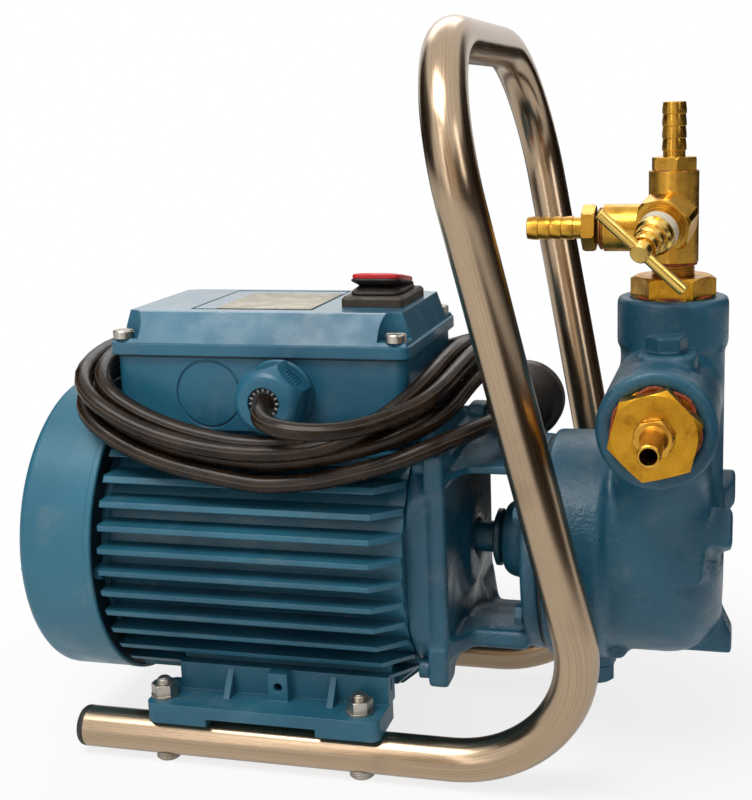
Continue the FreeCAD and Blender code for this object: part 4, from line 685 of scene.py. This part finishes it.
    def world(self) -> None:
        """Light softly from all round, and show white to the camera, metal and glass."""
        world = bpy.data.worlds.new("soft_room")
        bpy.context.scene.world = world
        world.use_nodes = True
        tree = world.node_tree
        tree.nodes.clear()
        path = tree.nodes.new("ShaderNodeLightPath")
        first = tree.nodes.new("ShaderNodeMath")
        first.operation = "MAXIMUM"
        second = tree.nodes.new("ShaderNodeMath")
        second.operation = "MAXIMUM"
        tree.links.new(path.outputs["Is Camera Ray"], first.inputs[0])
        tree.links.new(path.outputs["Is Glossy Ray"], first.inputs[1])
        tree.links.new(first.outputs[0], second.inputs[0])
        tree.links.new(path.outputs["Is Transmission Ray"], second.inputs[1])
        room = tree.nodes.new("ShaderNodeBackground")
        room.inputs["Color"].default_value = (0.92, 0.96, 1.0, 1.0)
        room.inputs["Strength"].default_value = self.room_light
        shown = tree.nodes.new("ShaderNodeBackground")
        shown.inputs["Color"].default_value = (1.0, 1.0, 1.0, 1.0)
        shown.inputs["Strength"].default_value = 1.0
        mixed = tree.nodes.new("ShaderNodeMixShader")
        tree.links.new(second.outputs[0], mixed.inputs[0])
        tree.links.new(room.outputs[0], mixed.inputs[1])
        tree.links.new(shown.outputs[0], mixed.inputs[2])
        end = tree.nodes.new("ShaderNodeOutputWorld")
        tree.links.new(mixed.outputs[0], end.inputs["Surface"])

    def build(self) -> None:
        """Set up the whole studio."""
        self.camera()
        self.floor()
        self.world()
        for lamp in self.lamps:
            self.lamp(*lamp)
        for card in self.cards:
            self.card(*card)
        bpy.context.scene.view_settings.view_transform = "Standard"
        LOG.info("studio ready")


@dataclass
class MainsCord:
    """The cord: out of the gland, four turns round the terminal box, and on to the plug."""

    radius_mm: float = 3.75
    length_m: float = 2.28
    lead: tuple = ((10, -57.8, 143.2), (10.6, -67, 142), (15, -74.5, 139.3), (26, -79, 137.6),
                   (41, -78, 136.8), (53, -72.5, 137.4), (65, -62, 140))
    stations: tuple = ((77, -49, 141), (82, 0, 151), (81, 54, 146), (43, 65, 134), (-2, 65.5, 128.5),
                       (-42, 66, 133), (-78, 57, 144), (-82, 0, 153.5), (-78, -51, 144.5),
                       (-44, -60, 126.5), (3, -59.5, 117.2), (45, -59.5, 124))
    slots: tuple = ((4.0, 4.5), (-4.8, 5.6), (-1.0, -1.1), (3.6, -7.2))
    tail: tuple = ((17, -62.5, 110.3), (34, -62.2, 112.4), (51, -61.5, 116.8), (67.4, -59.5, 121.6),
                   (81, -53.5, 126.8), (91.4, -42, 129.4), (97, -28.4, 129.8), (98.4, -13, 128),
                   (100.2, 3, 126.4), (101.2, 25.8, 124.6))
    centre: tuple[float, float] = (0.0, 2.6)

    def strand(self, station: int, slot: int) -> Vector:
        """Place one turn's point in the winding.

        Args:
            station: number of the place round the box.
            slot: which lane of the winding the turn lies in.

        Returns:
            The point in the maker's millimetres.
        """
        count = len(self.stations)
        here = Vector(self.stations[station])
        along = Vector(self.stations[(station + 1) % count]) - Vector(self.stations[station - 1])
        away = here - Vector((*self.centre, here.z))
        out = (away - along * away.dot(along) / along.length_squared).normalized()
        up = out.cross(along).normalized()
        if up.z < 0:
            up = -up
        outward, upward = self.slots[slot]
        return here + out * outward + up * upward

    def route(self) -> list[Vector]:
        """List the control points from the gland to the plug, in metres."""
        points = [Vector(p) for p in self.lead]
        turns = len(self.slots)
        count = len(self.stations)
        for turn in range(turns):
            last = count - 1 if turn == turns - 1 else count
            points += [self.strand(k, turn) for k in range(last)]
        points += [Vector(p) for p in self.tail]
        return [place(*p) for p in points]

    def build(self) -> None:
        data = bpy.data.curves.new("mains_cord", "CURVE")
        data.dimensions = "3D"
        data.resolution_u = 6
        data.bevel_depth = self.radius_mm / 1000
        data.bevel_resolution = 4
        data.use_fill_caps = True
        spline = data.splines.new("NURBS")
        points = self.route()
        spline.points.add(len(points) - 1)
        for knot, at in zip(spline.points, points):
            knot.co = (*at, 1.0)
        spline.order_u = 3
        spline.use_endpoint_u = True
        cord = bpy.data.objects.new("mains_cord", data)
        bpy.context.scene.collection.objects.link(cord)
        WARDROBE.dress(cord, SHEATH)
        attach(cord, BODY)
        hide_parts("cord_lead", "cord_coil", "cord_tail")
        LOG.info("cord with %d points", len(points))


@dataclass
class CarryingFrame:
    """The bent stainless tube that carries the pump."""

    tube_r: float = 9.0
    skid_r: float = 55.0
    handle_r: float = 54.0
    corners: tuple = ((-82.5, -56.0, -9.0), (151.0, -56.0, -9.0), (91.41, -107.625, 286.0))

    def bends(self) -> list[tuple[Vector, Vector, Vector, Vector]]:
        """Give each bend's start, end and the two handle points that make its arc."""
        near = [Vector(p) for p in self.corners]
        route = near + [Vector((p.x, -p.y, p.z)) for p in reversed(near)]
        found = []
        for i, r in zip(range(1, 5), (self.skid_r, self.handle_r, self.handle_r, self.skid_r)):
            a = (route[i] - route[i - 1]).normalized()
            b = (route[i + 1] - route[i]).normalized()
            turn = a.angle(b)
            reach = r * math.tan(turn / 2)
            arm = r * 4 / 3 * math.tan(turn / 4)
            start, end = route[i] - a * reach, route[i] + b * reach
            found.append((start, end, start + a * arm, end - b * arm))
        return [(route[0],) * 4] + found + [(route[-1],) * 4]

    def build(self) -> None:
        """Sweep the tube along its bends, with a UV map that follows it."""
        data = bpy.data.curves.new("carrying_tube", "CURVE")
        data.dimensions = "3D"
        data.resolution_u = 24
        data.bevel_depth = self.tube_r / 1000
        data.bevel_resolution = 10
        bends = self.bends()
        knots: list[tuple[Vector, Vector, Vector]] = [(bends[0][0],) * 3]
        for start, end, first, second in bends[1:-1]:
            knots.append((start - (first - start) * 0.5, start, first))
            knots.append((second, end, end + (end - second) * 0.5))
        knots.append((bends[-1][0],) * 3)
        spline = data.splines.new("BEZIER")
        spline.bezier_points.add(len(knots) - 1)
        for knot, (left, here, right) in zip(spline.bezier_points, knots):
            knot.handle_left_type = knot.handle_right_type = "FREE"
            knot.co, knot.handle_left, knot.handle_right = place(*here), place(*left), place(*right)
        tube = bpy.data.objects.new("carrying_tube", data)
        bpy.context.scene.collection.objects.link(tube)
        WARDROBE.dress(tube, TUBE)
        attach(tube, BODY)
        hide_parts("tube_frame")
        LOG.info("carrying tube bent")


@dataclass
class Casting:
    """A rough casting with soft corners and roots, made from its CAD nodes' own shapes."""

    name: str
    nodes: tuple[str, ...]
    finish: object
    voxel_mm: float = 1.2
    passes: int = 3

    def eased(self, point: Vector) -> Vector:
        """Move a point of the surface, in the maker's millimetres, to where the casting's skin lies."""
        return point

    def build(self) -> None:
        """Join copies of the nodes into one skin, ease it, and let it stand for them."""
        mesh = bmesh.new()
        for node in self.nodes:
            mesh.from_mesh(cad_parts[node].data)
        bmesh.ops.remove_doubles(mesh, verts=mesh.verts, dist=1e-6)
        data = bpy.data.meshes.new(f"{self.name}_raw")
        mesh.to_mesh(data)
        mesh.free()
        raw = bpy.data.objects.new(f"{self.name}_raw", data)
        bpy.context.scene.collection.objects.link(raw)
        remesh = raw.modifiers.new("remesh", "REMESH")
        remesh.mode, remesh.voxel_size = "VOXEL", self.voxel_mm / 1000
        bpy.context.view_layer.update()
        graph = bpy.context.evaluated_depsgraph_get()
        shaped = bpy.data.meshes.new_from_object(raw.evaluated_get(graph))
        bpy.data.objects.remove(raw)
        skin = bmesh.new()
        skin.from_mesh(shaped)
        bpy.data.meshes.remove(shaped)
        for vert in skin.verts:
            vert.co = place(*self.eased(vert.co * 1000.0 + ORIGIN))
        for _ in range(self.passes):
            bmesh.ops.smooth_vert(skin, verts=skin.verts, factor=0.5, use_axis_x=True, use_axis_y=True,
                                  use_axis_z=True)
        add_piece(self.name, skin, self.finish, BODY, self.nodes, 70.0)


def easing(value: float, low: float, high: float) -> float:
    """Rise smoothly from 0 at low to 1 at high."""
    t = min(max((value - low) / (high - low), 0.0), 1.0)
    return t * t * (3.0 - 2.0 * t)


@dataclass
class PumpCasting(Casting):
    """The pump casing, whose suction elbow runs out softly into the barrel below it."""

    shaft_z: float = 71.0
    barrel_r: float = 44.9
    fade: tuple[float, float] = (84.0, 118.0)
    side_y: float = -20.0
    elbow_x: float = 147.0
    least_r: float = 20.0

    def eased(self, point: Vector) -> Vector:
        """Draw the elbow's lower part back onto the barrel."""
        rise = point.z - self.shaft_z
        beside = point.y > self.side_y or point.x < self.elbow_x
        if beside or point.z > self.fade[1] or rise < -self.barrel_r:
            return point
        skin = -math.sqrt(max(self.barrel_r ** 2 - rise ** 2, self.least_r ** 2))
        if point.y >= skin:
            return point
        return Vector((point.x, skin + (point.y - skin) * easing(point.z, *self.fade), point.z))


@dataclass
class LanternCasting(Casting):
    """The end shield and the lantern bolted to it, painted over as one."""

    shaft_z: float = 71.0
    flat_y: float = 50.5
    ring_x: float = 78.2
    hub_x: tuple[float, float] = (82.8, 92.0)
    hub_r: float = 31.0
    hub_share: float = 0.55
    slab_x: tuple[float, float] = (84.0, 112.0)
    slab_z: tuple[float, float] = (28.0, 46.0)
    slab_top: float = 40.0
    slab_drop: float = 11.0
    drop_x: tuple[float, float] = (83.0, 88.0)
    drop_y: tuple[float, float] = (-20.0, 34.0)

    def eased(self, point: Vector) -> Vector:
        """Flatten the ring's side, lower the hub, and let the lower arm fall away to the back."""
        x, y, z = point
        if x < self.ring_x and abs(y) > self.flat_y and abs(z - self.shaft_z) < self.hub_r:
            y = math.copysign(self.flat_y, y)
        away = math.hypot(y, z - self.shaft_z)
        face, end = self.hub_x
        if face < x < end and away < self.hub_r:
            x = face + (x - face) * self.hub_share
        if self.slab_x[0] < x < self.slab_x[1] and self.slab_z[0] < z < self.slab_z[1]:
            z = min(z, self.slab_top) - self.slab_drop * easing(y, *self.drop_y) * easing(x, *self.drop_x)
        return Vector((x, y, z))


@dataclass
class CowlShade:
    """A dark ring of painted shade in the gap of the cowl's mouth, and the rolled edge round that mouth."""

    shaft_z: float = 71.0
    # a dark ring of painted shade where the cowl's mouth lies in shadow
    shade_ring_x: float = -71.5
    shade_ring_profile: tuple = ((0, 54.0), (0, 67.4), (1.5, 67.4), (1.5, 54.0), (0, 54.0))
    roll_x: float = -72.3
    roll: tuple = ((0, 68.9), (0.3, 69.3), (3.0, 69.3), (3.2, 68.9), (0, 68.9))

    def build(self) -> None:
        """Turn both about the shaft's axis."""
        for name, start, profile, finish, steps in (
                # this dark ring is painted shade, not a part of the cowl
                ("cowl_painted_shade_ring", self.shade_ring_x, self.shade_ring_profile, PAINTED_SHADE, 96),
                ("cowl_rolled_edge", self.roll_x, self.roll, COWL, 128)):
            mesh = bmesh.new()
            lathe(mesh, profile, place(start, 0, self.shaft_z), Vector((1, 0, 0)), steps)
            add_piece(name, mesh, finish)


def pillow(mesh: bmesh.types.BMesh, rings: Sequence[tuple[float, float, float]], matrix: Matrix,
           squareness: float = 0.34, segments: int = 48) -> None:
    """Loft a soft rectangular form through rings and close its ends.

    Args:
        mesh: receives the form.
        rings: (height, half length along x, half length along y) in millimetres, from the foot up.
        matrix: where the form's foot goes, in metres.
        squareness: power of the outline; 1 gives an ellipse and less gives squarer corners.
        segments: how many points go round.
    """
    made = bmesh.new()
    loops = []
    for height, half_x, half_y in rings:
        circle = bmesh.ops.create_circle(made, cap_ends=False, segments=segments, radius=1.0)["verts"]
        for vert in circle:
            across, along = vert.co.x, vert.co.y
            vert.co = Vector((half_x * math.copysign(abs(across) ** squareness, across),
                              half_y * math.copysign(abs(along) ** squareness, along), height)) / 1000.0
        loops.append(list({edge for vert in circle for edge in vert.link_edges}))
    for low, high in zip(loops, loops[1:]):
        bmesh.ops.bridge_loops(made, edges=low + high)
    for end in (loops[0], loops[-1]):
        bmesh.ops.contextual_create(made, geom=end)
    bmesh.ops.transform(made, matrix=matrix, verts=made.verts)
    merge_into(mesh, made)


@dataclass
class RockerSwitch:
    """The switch's rubber bellows, still at its foot and carried by the rocker above, and the red cap."""

    foot: tuple[float, float, float] = (44.9, 3.0, 181.2)
    pivot: tuple[float, float, float] = (44.9, 1.5, 179.1)
    tilt_deg: float = -10.0
    foot_rings: tuple = ((0.0, 11.0, 14.5), (0.7, 11.7, 15.2), (1.6, 11.5, 15.0), (2.6, 10.2, 13.4),
                         (3.3, 9.2, 12.2))
    rim_rings: tuple = ((4.4, 8.6, 11.4), (5.0, 9.4, 12.4), (5.8, 10.9, 14.4), (6.4, 11.5, 15.1),
                        (7.0, 11.4, 15.0), (7.3, 10.8, 14.3))
    cap_rings: tuple = ((7.0, 10.6, 14.1), (7.6, 11.0, 14.5), (8.9, 11.0, 14.5), (9.5, 10.2, 13.6),
                        (9.8, 7.8, 10.6), (9.9, 3.0, 4.5))

    def build(self) -> None:
        """Loft both halves of the bellows and the cap."""
        foot = bmesh.new()
        pillow(foot, self.foot_rings, Matrix.Translation(place(*self.foot)))
        add_piece("boot_foot", foot, BOOT, BODY, ["switch_boot"])
        lean = Matrix.Translation(place(*self.pivot)) @ Matrix.Rotation(math.radians(self.tilt_deg), 4, "X")
        rim = bmesh.new()
        pillow(rim, self.rim_rings, lean)
        add_piece("boot_rim", rim, BOOT, "rocker")
        cap = bmesh.new()
        pillow(cap, self.cap_rings, lean)
        add_piece("rocker_cap", cap, RED, "rocker", ["switch_rocker"])


@dataclass
class GlandDetail:
    """The grip ribs on the gland nut's flats and the clamping fingers in its mouth."""

    centre: tuple[float, float, float] = (10.0, -41.3, 143.2)
    flat_mm: float = 13.4
    first_deg: float = 45.0
    ribs: int = 6
    pitch: float = 1.35
    rib_mm: tuple[float, float, float] = (6.4, 0.6, 0.9)
    rib_ahead: float = 7.2
    rib_sunk: float = 0.15
    fingers: int = 16
    finger_mm: tuple[float, float, float] = (1.2, 0.7, 1.5)
    finger_ahead: float = 17.0
    finger_r: float = 5.7

    def block(self, mesh: bmesh.types.BMesh, angle: float, ahead: float, out_mm: float, shift: float,
              size: tuple[float, float, float], edge: float) -> None:
        """Add a small block that stands out from the gland's axis.

        Args:
            mesh: receives the block.
            angle: which way it points, in radians about the axis.
            ahead: how far it lies before the box.
            out_mm: its distance from the axis.
            shift: how far it lies aside.
            size: its three sides: along the axis, across and outwards.
            edge: radius of its edges.
        """
        axis = Vector((0, -1, 0))
        out = Vector((math.cos(angle), 0, math.sin(angle)))
        across = axis.cross(out)
        turn = Matrix((axis, across, out)).transposed().to_4x4()
        at = Vector(self.centre) + axis * ahead + out * out_mm + across * shift
        bar(mesh, size, Matrix.Translation(place(*at)) @ turn, edge)

    def build(self) -> None:
        """Add ribs to the six flats and a ring of fingers."""
        mesh = bmesh.new()
        for side in range(6):
            angle = math.radians(self.first_deg + 60 * side)
            for k in range(self.ribs):
                shift = (k - (self.ribs - 1) / 2) * self.pitch
                self.block(mesh, angle, self.rib_ahead, self.flat_mm - self.rib_sunk, shift, self.rib_mm, 0.2)
        add_piece("gland_ribs", mesh, SMOOTH)
        ring = bmesh.new()
        for k in range(self.fingers):
            angle = 2 * math.pi * k / self.fingers
            self.block(ring, angle, self.finger_ahead, self.finger_r, 0.0, self.finger_mm, 0.25)
        add_piece("gland_fingers", ring, GREY)


@dataclass
class LidDetail:
    """The blank plate on the lid and the fine line round its field."""

    plate: tuple[float, float, float, float] = (-24.0, 20.0, -23.0, 22.0)
    outline: tuple[float, float, float, float] = (-35.0, 20.5, -24.0, 31.0)
    top_z: float = 176.8

    def build(self) -> None:
        """Lay the plate and its frame line on the lid."""
        x0, x1, y0, y1 = self.plate
        mesh = bmesh.new()
        bar(mesh, (x1 - x0, y1 - y0, 0.4),
            Matrix.Translation(place((x0 + x1) / 2, (y0 + y1) / 2, self.top_z + 0.15)), 0.15)
        add_piece("lid_plate", mesh, LABEL)
        line = bmesh.new()
        x0, x1, y0, y1 = self.outline
        for size, at in (((x1 - x0, 0.5), ((x0 + x1) / 2, y0)), ((x1 - x0, 0.5), ((x0 + x1) / 2, y1)),
                         ((0.5, y1 - y0), (x0, (y0 + y1) / 2)), ((0.5, y1 - y0), (x1, (y0 + y1) / 2))):
            bar(line, (*size, 0.2), Matrix.Translation(place(*at, self.top_z + 0.05)), 0.05)
        add_piece("lid_field_line", line, CAST)


@dataclass
class HoseTail:
    """A hose tail with shallow barbs above its hexagon."""

    node: str
    base: tuple[float, float, float]
    axis: Vector
    length: float
    hex_af: float = 17.0
    hex_t: float = 5.5
    hose_r: float = 4.95
    bore_r: float = 3.2
    pitch: float = 4.9
    step: float = 0.42

    def build(self) -> None:
        """Make the hexagon with its corners taken off, and turn the barbs with the bore at the tip."""
        mesh = bmesh.new()
        made = bmesh.new()
        corner = self.hex_af / math.sqrt(3) / 1000
        bmesh.ops.create_cone(made, cap_ends=True, segments=6, radius1=corner, radius2=corner,
                              depth=self.hex_t / 1000)
        bmesh.ops.bevel(made, geom=list(made.verts), offset=0.0011, segments=1, affect="VERTICES",
                        profile=0.5, material=-1)
        turn = axis_frame(place(*self.base), self.axis)
        rise = Matrix.Translation((0, 0, self.hex_t / 2000)) @ Matrix.Rotation(math.radians(10), 4, "Z")
        bmesh.ops.transform(made, matrix=turn @ rise, verts=made.verts)
        merge_into(mesh, made)
        end = self.length - self.hex_t
        count = int((end - 1) // self.pitch)
        profile = [(0.0, self.hose_r - self.step)]
        for k in range(count):
            low = end - (count - k) * self.pitch
            profile += [(low, self.hose_r - self.step), (low + 0.15, self.hose_r),
                        (low + self.pitch * 0.4, self.hose_r),
                        (low + self.pitch - 0.05, self.hose_r - self.step * 0.8)]
        profile += [(end - 0.25, self.hose_r - self.step), (end, self.hose_r - self.step - 0.3),
                    (end, self.bore_r), (end - 12.0, self.bore_r), (end - 12.0, 0.0)]
        lathe(mesh, profile, place(*(Vector(self.base) + self.axis * self.hex_t)), self.axis, 64)
        add_piece(f"{self.node}_turned", mesh, BRASS, BODY, [self.node])


@dataclass
class FittingDetail:
    """Threads, sealant and the pale band at the brass fittings."""

    column_x: float = 171.4
    suction: tuple[float, float, float] = (169.8, -71.6, 139.9)

    def bead(self, name: str, base: Vector, axis: Vector, radius: float, thick: float,
             waves: int = 7) -> None:
        """Lay an uneven bead of sealant round a joint.

        Args:
            name: the piece's name.
            base: centre of the bead in the maker's millimetres.
            axis: the joint's axis.
            radius: mean radius of the bead's middle.
            thick: half its thickness.
            waves: how many swells go round.
        """
        mesh = bmesh.new()
        profile = [(thick * math.sin(a), radius + thick * math.cos(a))
                   for a in (2 * math.pi * k / 8 for k in range(9))]
        lathe(mesh, profile, place(*base), axis, 40)
        centre = place(*base)
        for vert in mesh.verts:
            arm = vert.co - centre
            flat = arm - axis * arm.dot(axis)
            angle = math.atan2(flat.dot(axis.orthogonal()), flat.dot(axis.cross(axis.orthogonal())))
            swell = 1.0 + 0.035 * math.sin(waves * angle) + 0.03 * math.sin(3 * angle + 1.0)
            vert.co = centre + flat * swell + axis * arm.dot(axis)
        add_piece(name, mesh, SEALANT)

    def thread(self, name: str, base: Vector, axis: Vector, root: float, crest: float, length: float,
               pitch: float = 1.2) -> None:
        """Turn a stretch of visible thread.

        Args:
            name: the piece's name.
            base: where it starts, in the maker's millimetres.
            axis: the way it runs.
            root: radius at the thread's root.
            crest: radius at its crest.
            length: how far it runs.
            pitch: distance between crests.
        """
        mesh = bmesh.new()
        profile = [(0.0, root - 0.4)]
        count = int(length / pitch)
        for k in range(count):
            low = k * pitch
            profile += [(low, root), (low + pitch * 0.35, crest), (low + pitch * 0.6, crest)]
        profile += [(count * pitch, root), (count * pitch, root - 0.4)]
        lathe(mesh, profile, place(*base), axis)
        add_piece(name, mesh, THREADED_BRASS)

    def build(self) -> None:
        """Add every detail of the brass fittings."""
        up, left, near = Vector((0, 0, 1)), Vector((-1, 0, 0)), Vector((0, -1, 0))
        self.bead("collar_sealant", Vector((self.column_x, 0, 180.9)), up, 15.6, 0.7)
        self.bead("suction_sealant", Vector((self.suction[0], -71.7, self.suction[2])), near, 16.4, 0.8)
        self.bead("tee_sealant", Vector((self.column_x, 0, 194.6)), up, 8.9, 1.0, 5)
        self.thread("tee_thread", Vector((self.column_x, 0, 189.3)), up, 8.2, 8.9, 5.6)
        self.thread("side_tail_thread", Vector((143.0, 0, 209.0)), left, 7.6, 8.5, 3.5)
        self.bead("side_tail_sealant", Vector((141.8, 0, 209.0)), left, 8.1, 0.6, 9)
        self.bead("top_tail_sealant", Vector((self.column_x, 0, 232.3)), up, 8.4, 0.5, 6)
        lean = Vector((-0.289, -0.892, -0.347)).normalized()
        base = Vector((self.column_x, 0, 215.2))
        band = bmesh.new()
        lathe(band, [(16.2, 7.9), (16.2, 8.2), (20.6, 8.2), (20.6, 7.9), (16.2, 7.9)], place(*base), lean)
        add_piece("valve_band", band, PAPER)


def dress_nodes() -> None:
    """Give every CAD node its finish."""
    for name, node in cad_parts.items():
        WARDROBE.dress(node, CAD_FINISHES[name])
    LOG.info("dressed %d nodes", len(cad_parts))


def main() -> None:
    """Build the studio and every sub-assembly in order."""
    logging.basicConfig(level=logging.INFO, format="%(name)s: %(message)s")
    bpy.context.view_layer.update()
    builders: list[Callable[[], None]] = [
        Studio().build, dress_nodes, MainsCord().build, CarryingFrame().build,
        PumpCasting("pump_casting", ("pump_casing",), CAST).build,
        LanternCasting("lantern_casting", ("drive_end_shield", "lantern_bracket"), CAST, 1.1, 5).build,
        HoseTail("top_hose_tail", (171.4, 0.0, 232.3), Vector((0, 0, 1)), 27.7).build,
        HoseTail("side_hose_tail", (139.5, 0.0, 209.0), Vector((-1, 0, 0)), 29.0).build,
        CowlShade().build, RockerSwitch().build, GlandDetail().build, LidDetail().build,
        FittingDetail().build,
    ]
    for build in builders:
        build()
    bpy.context.view_layer.update()


if __name__ == "__main__":
    main()
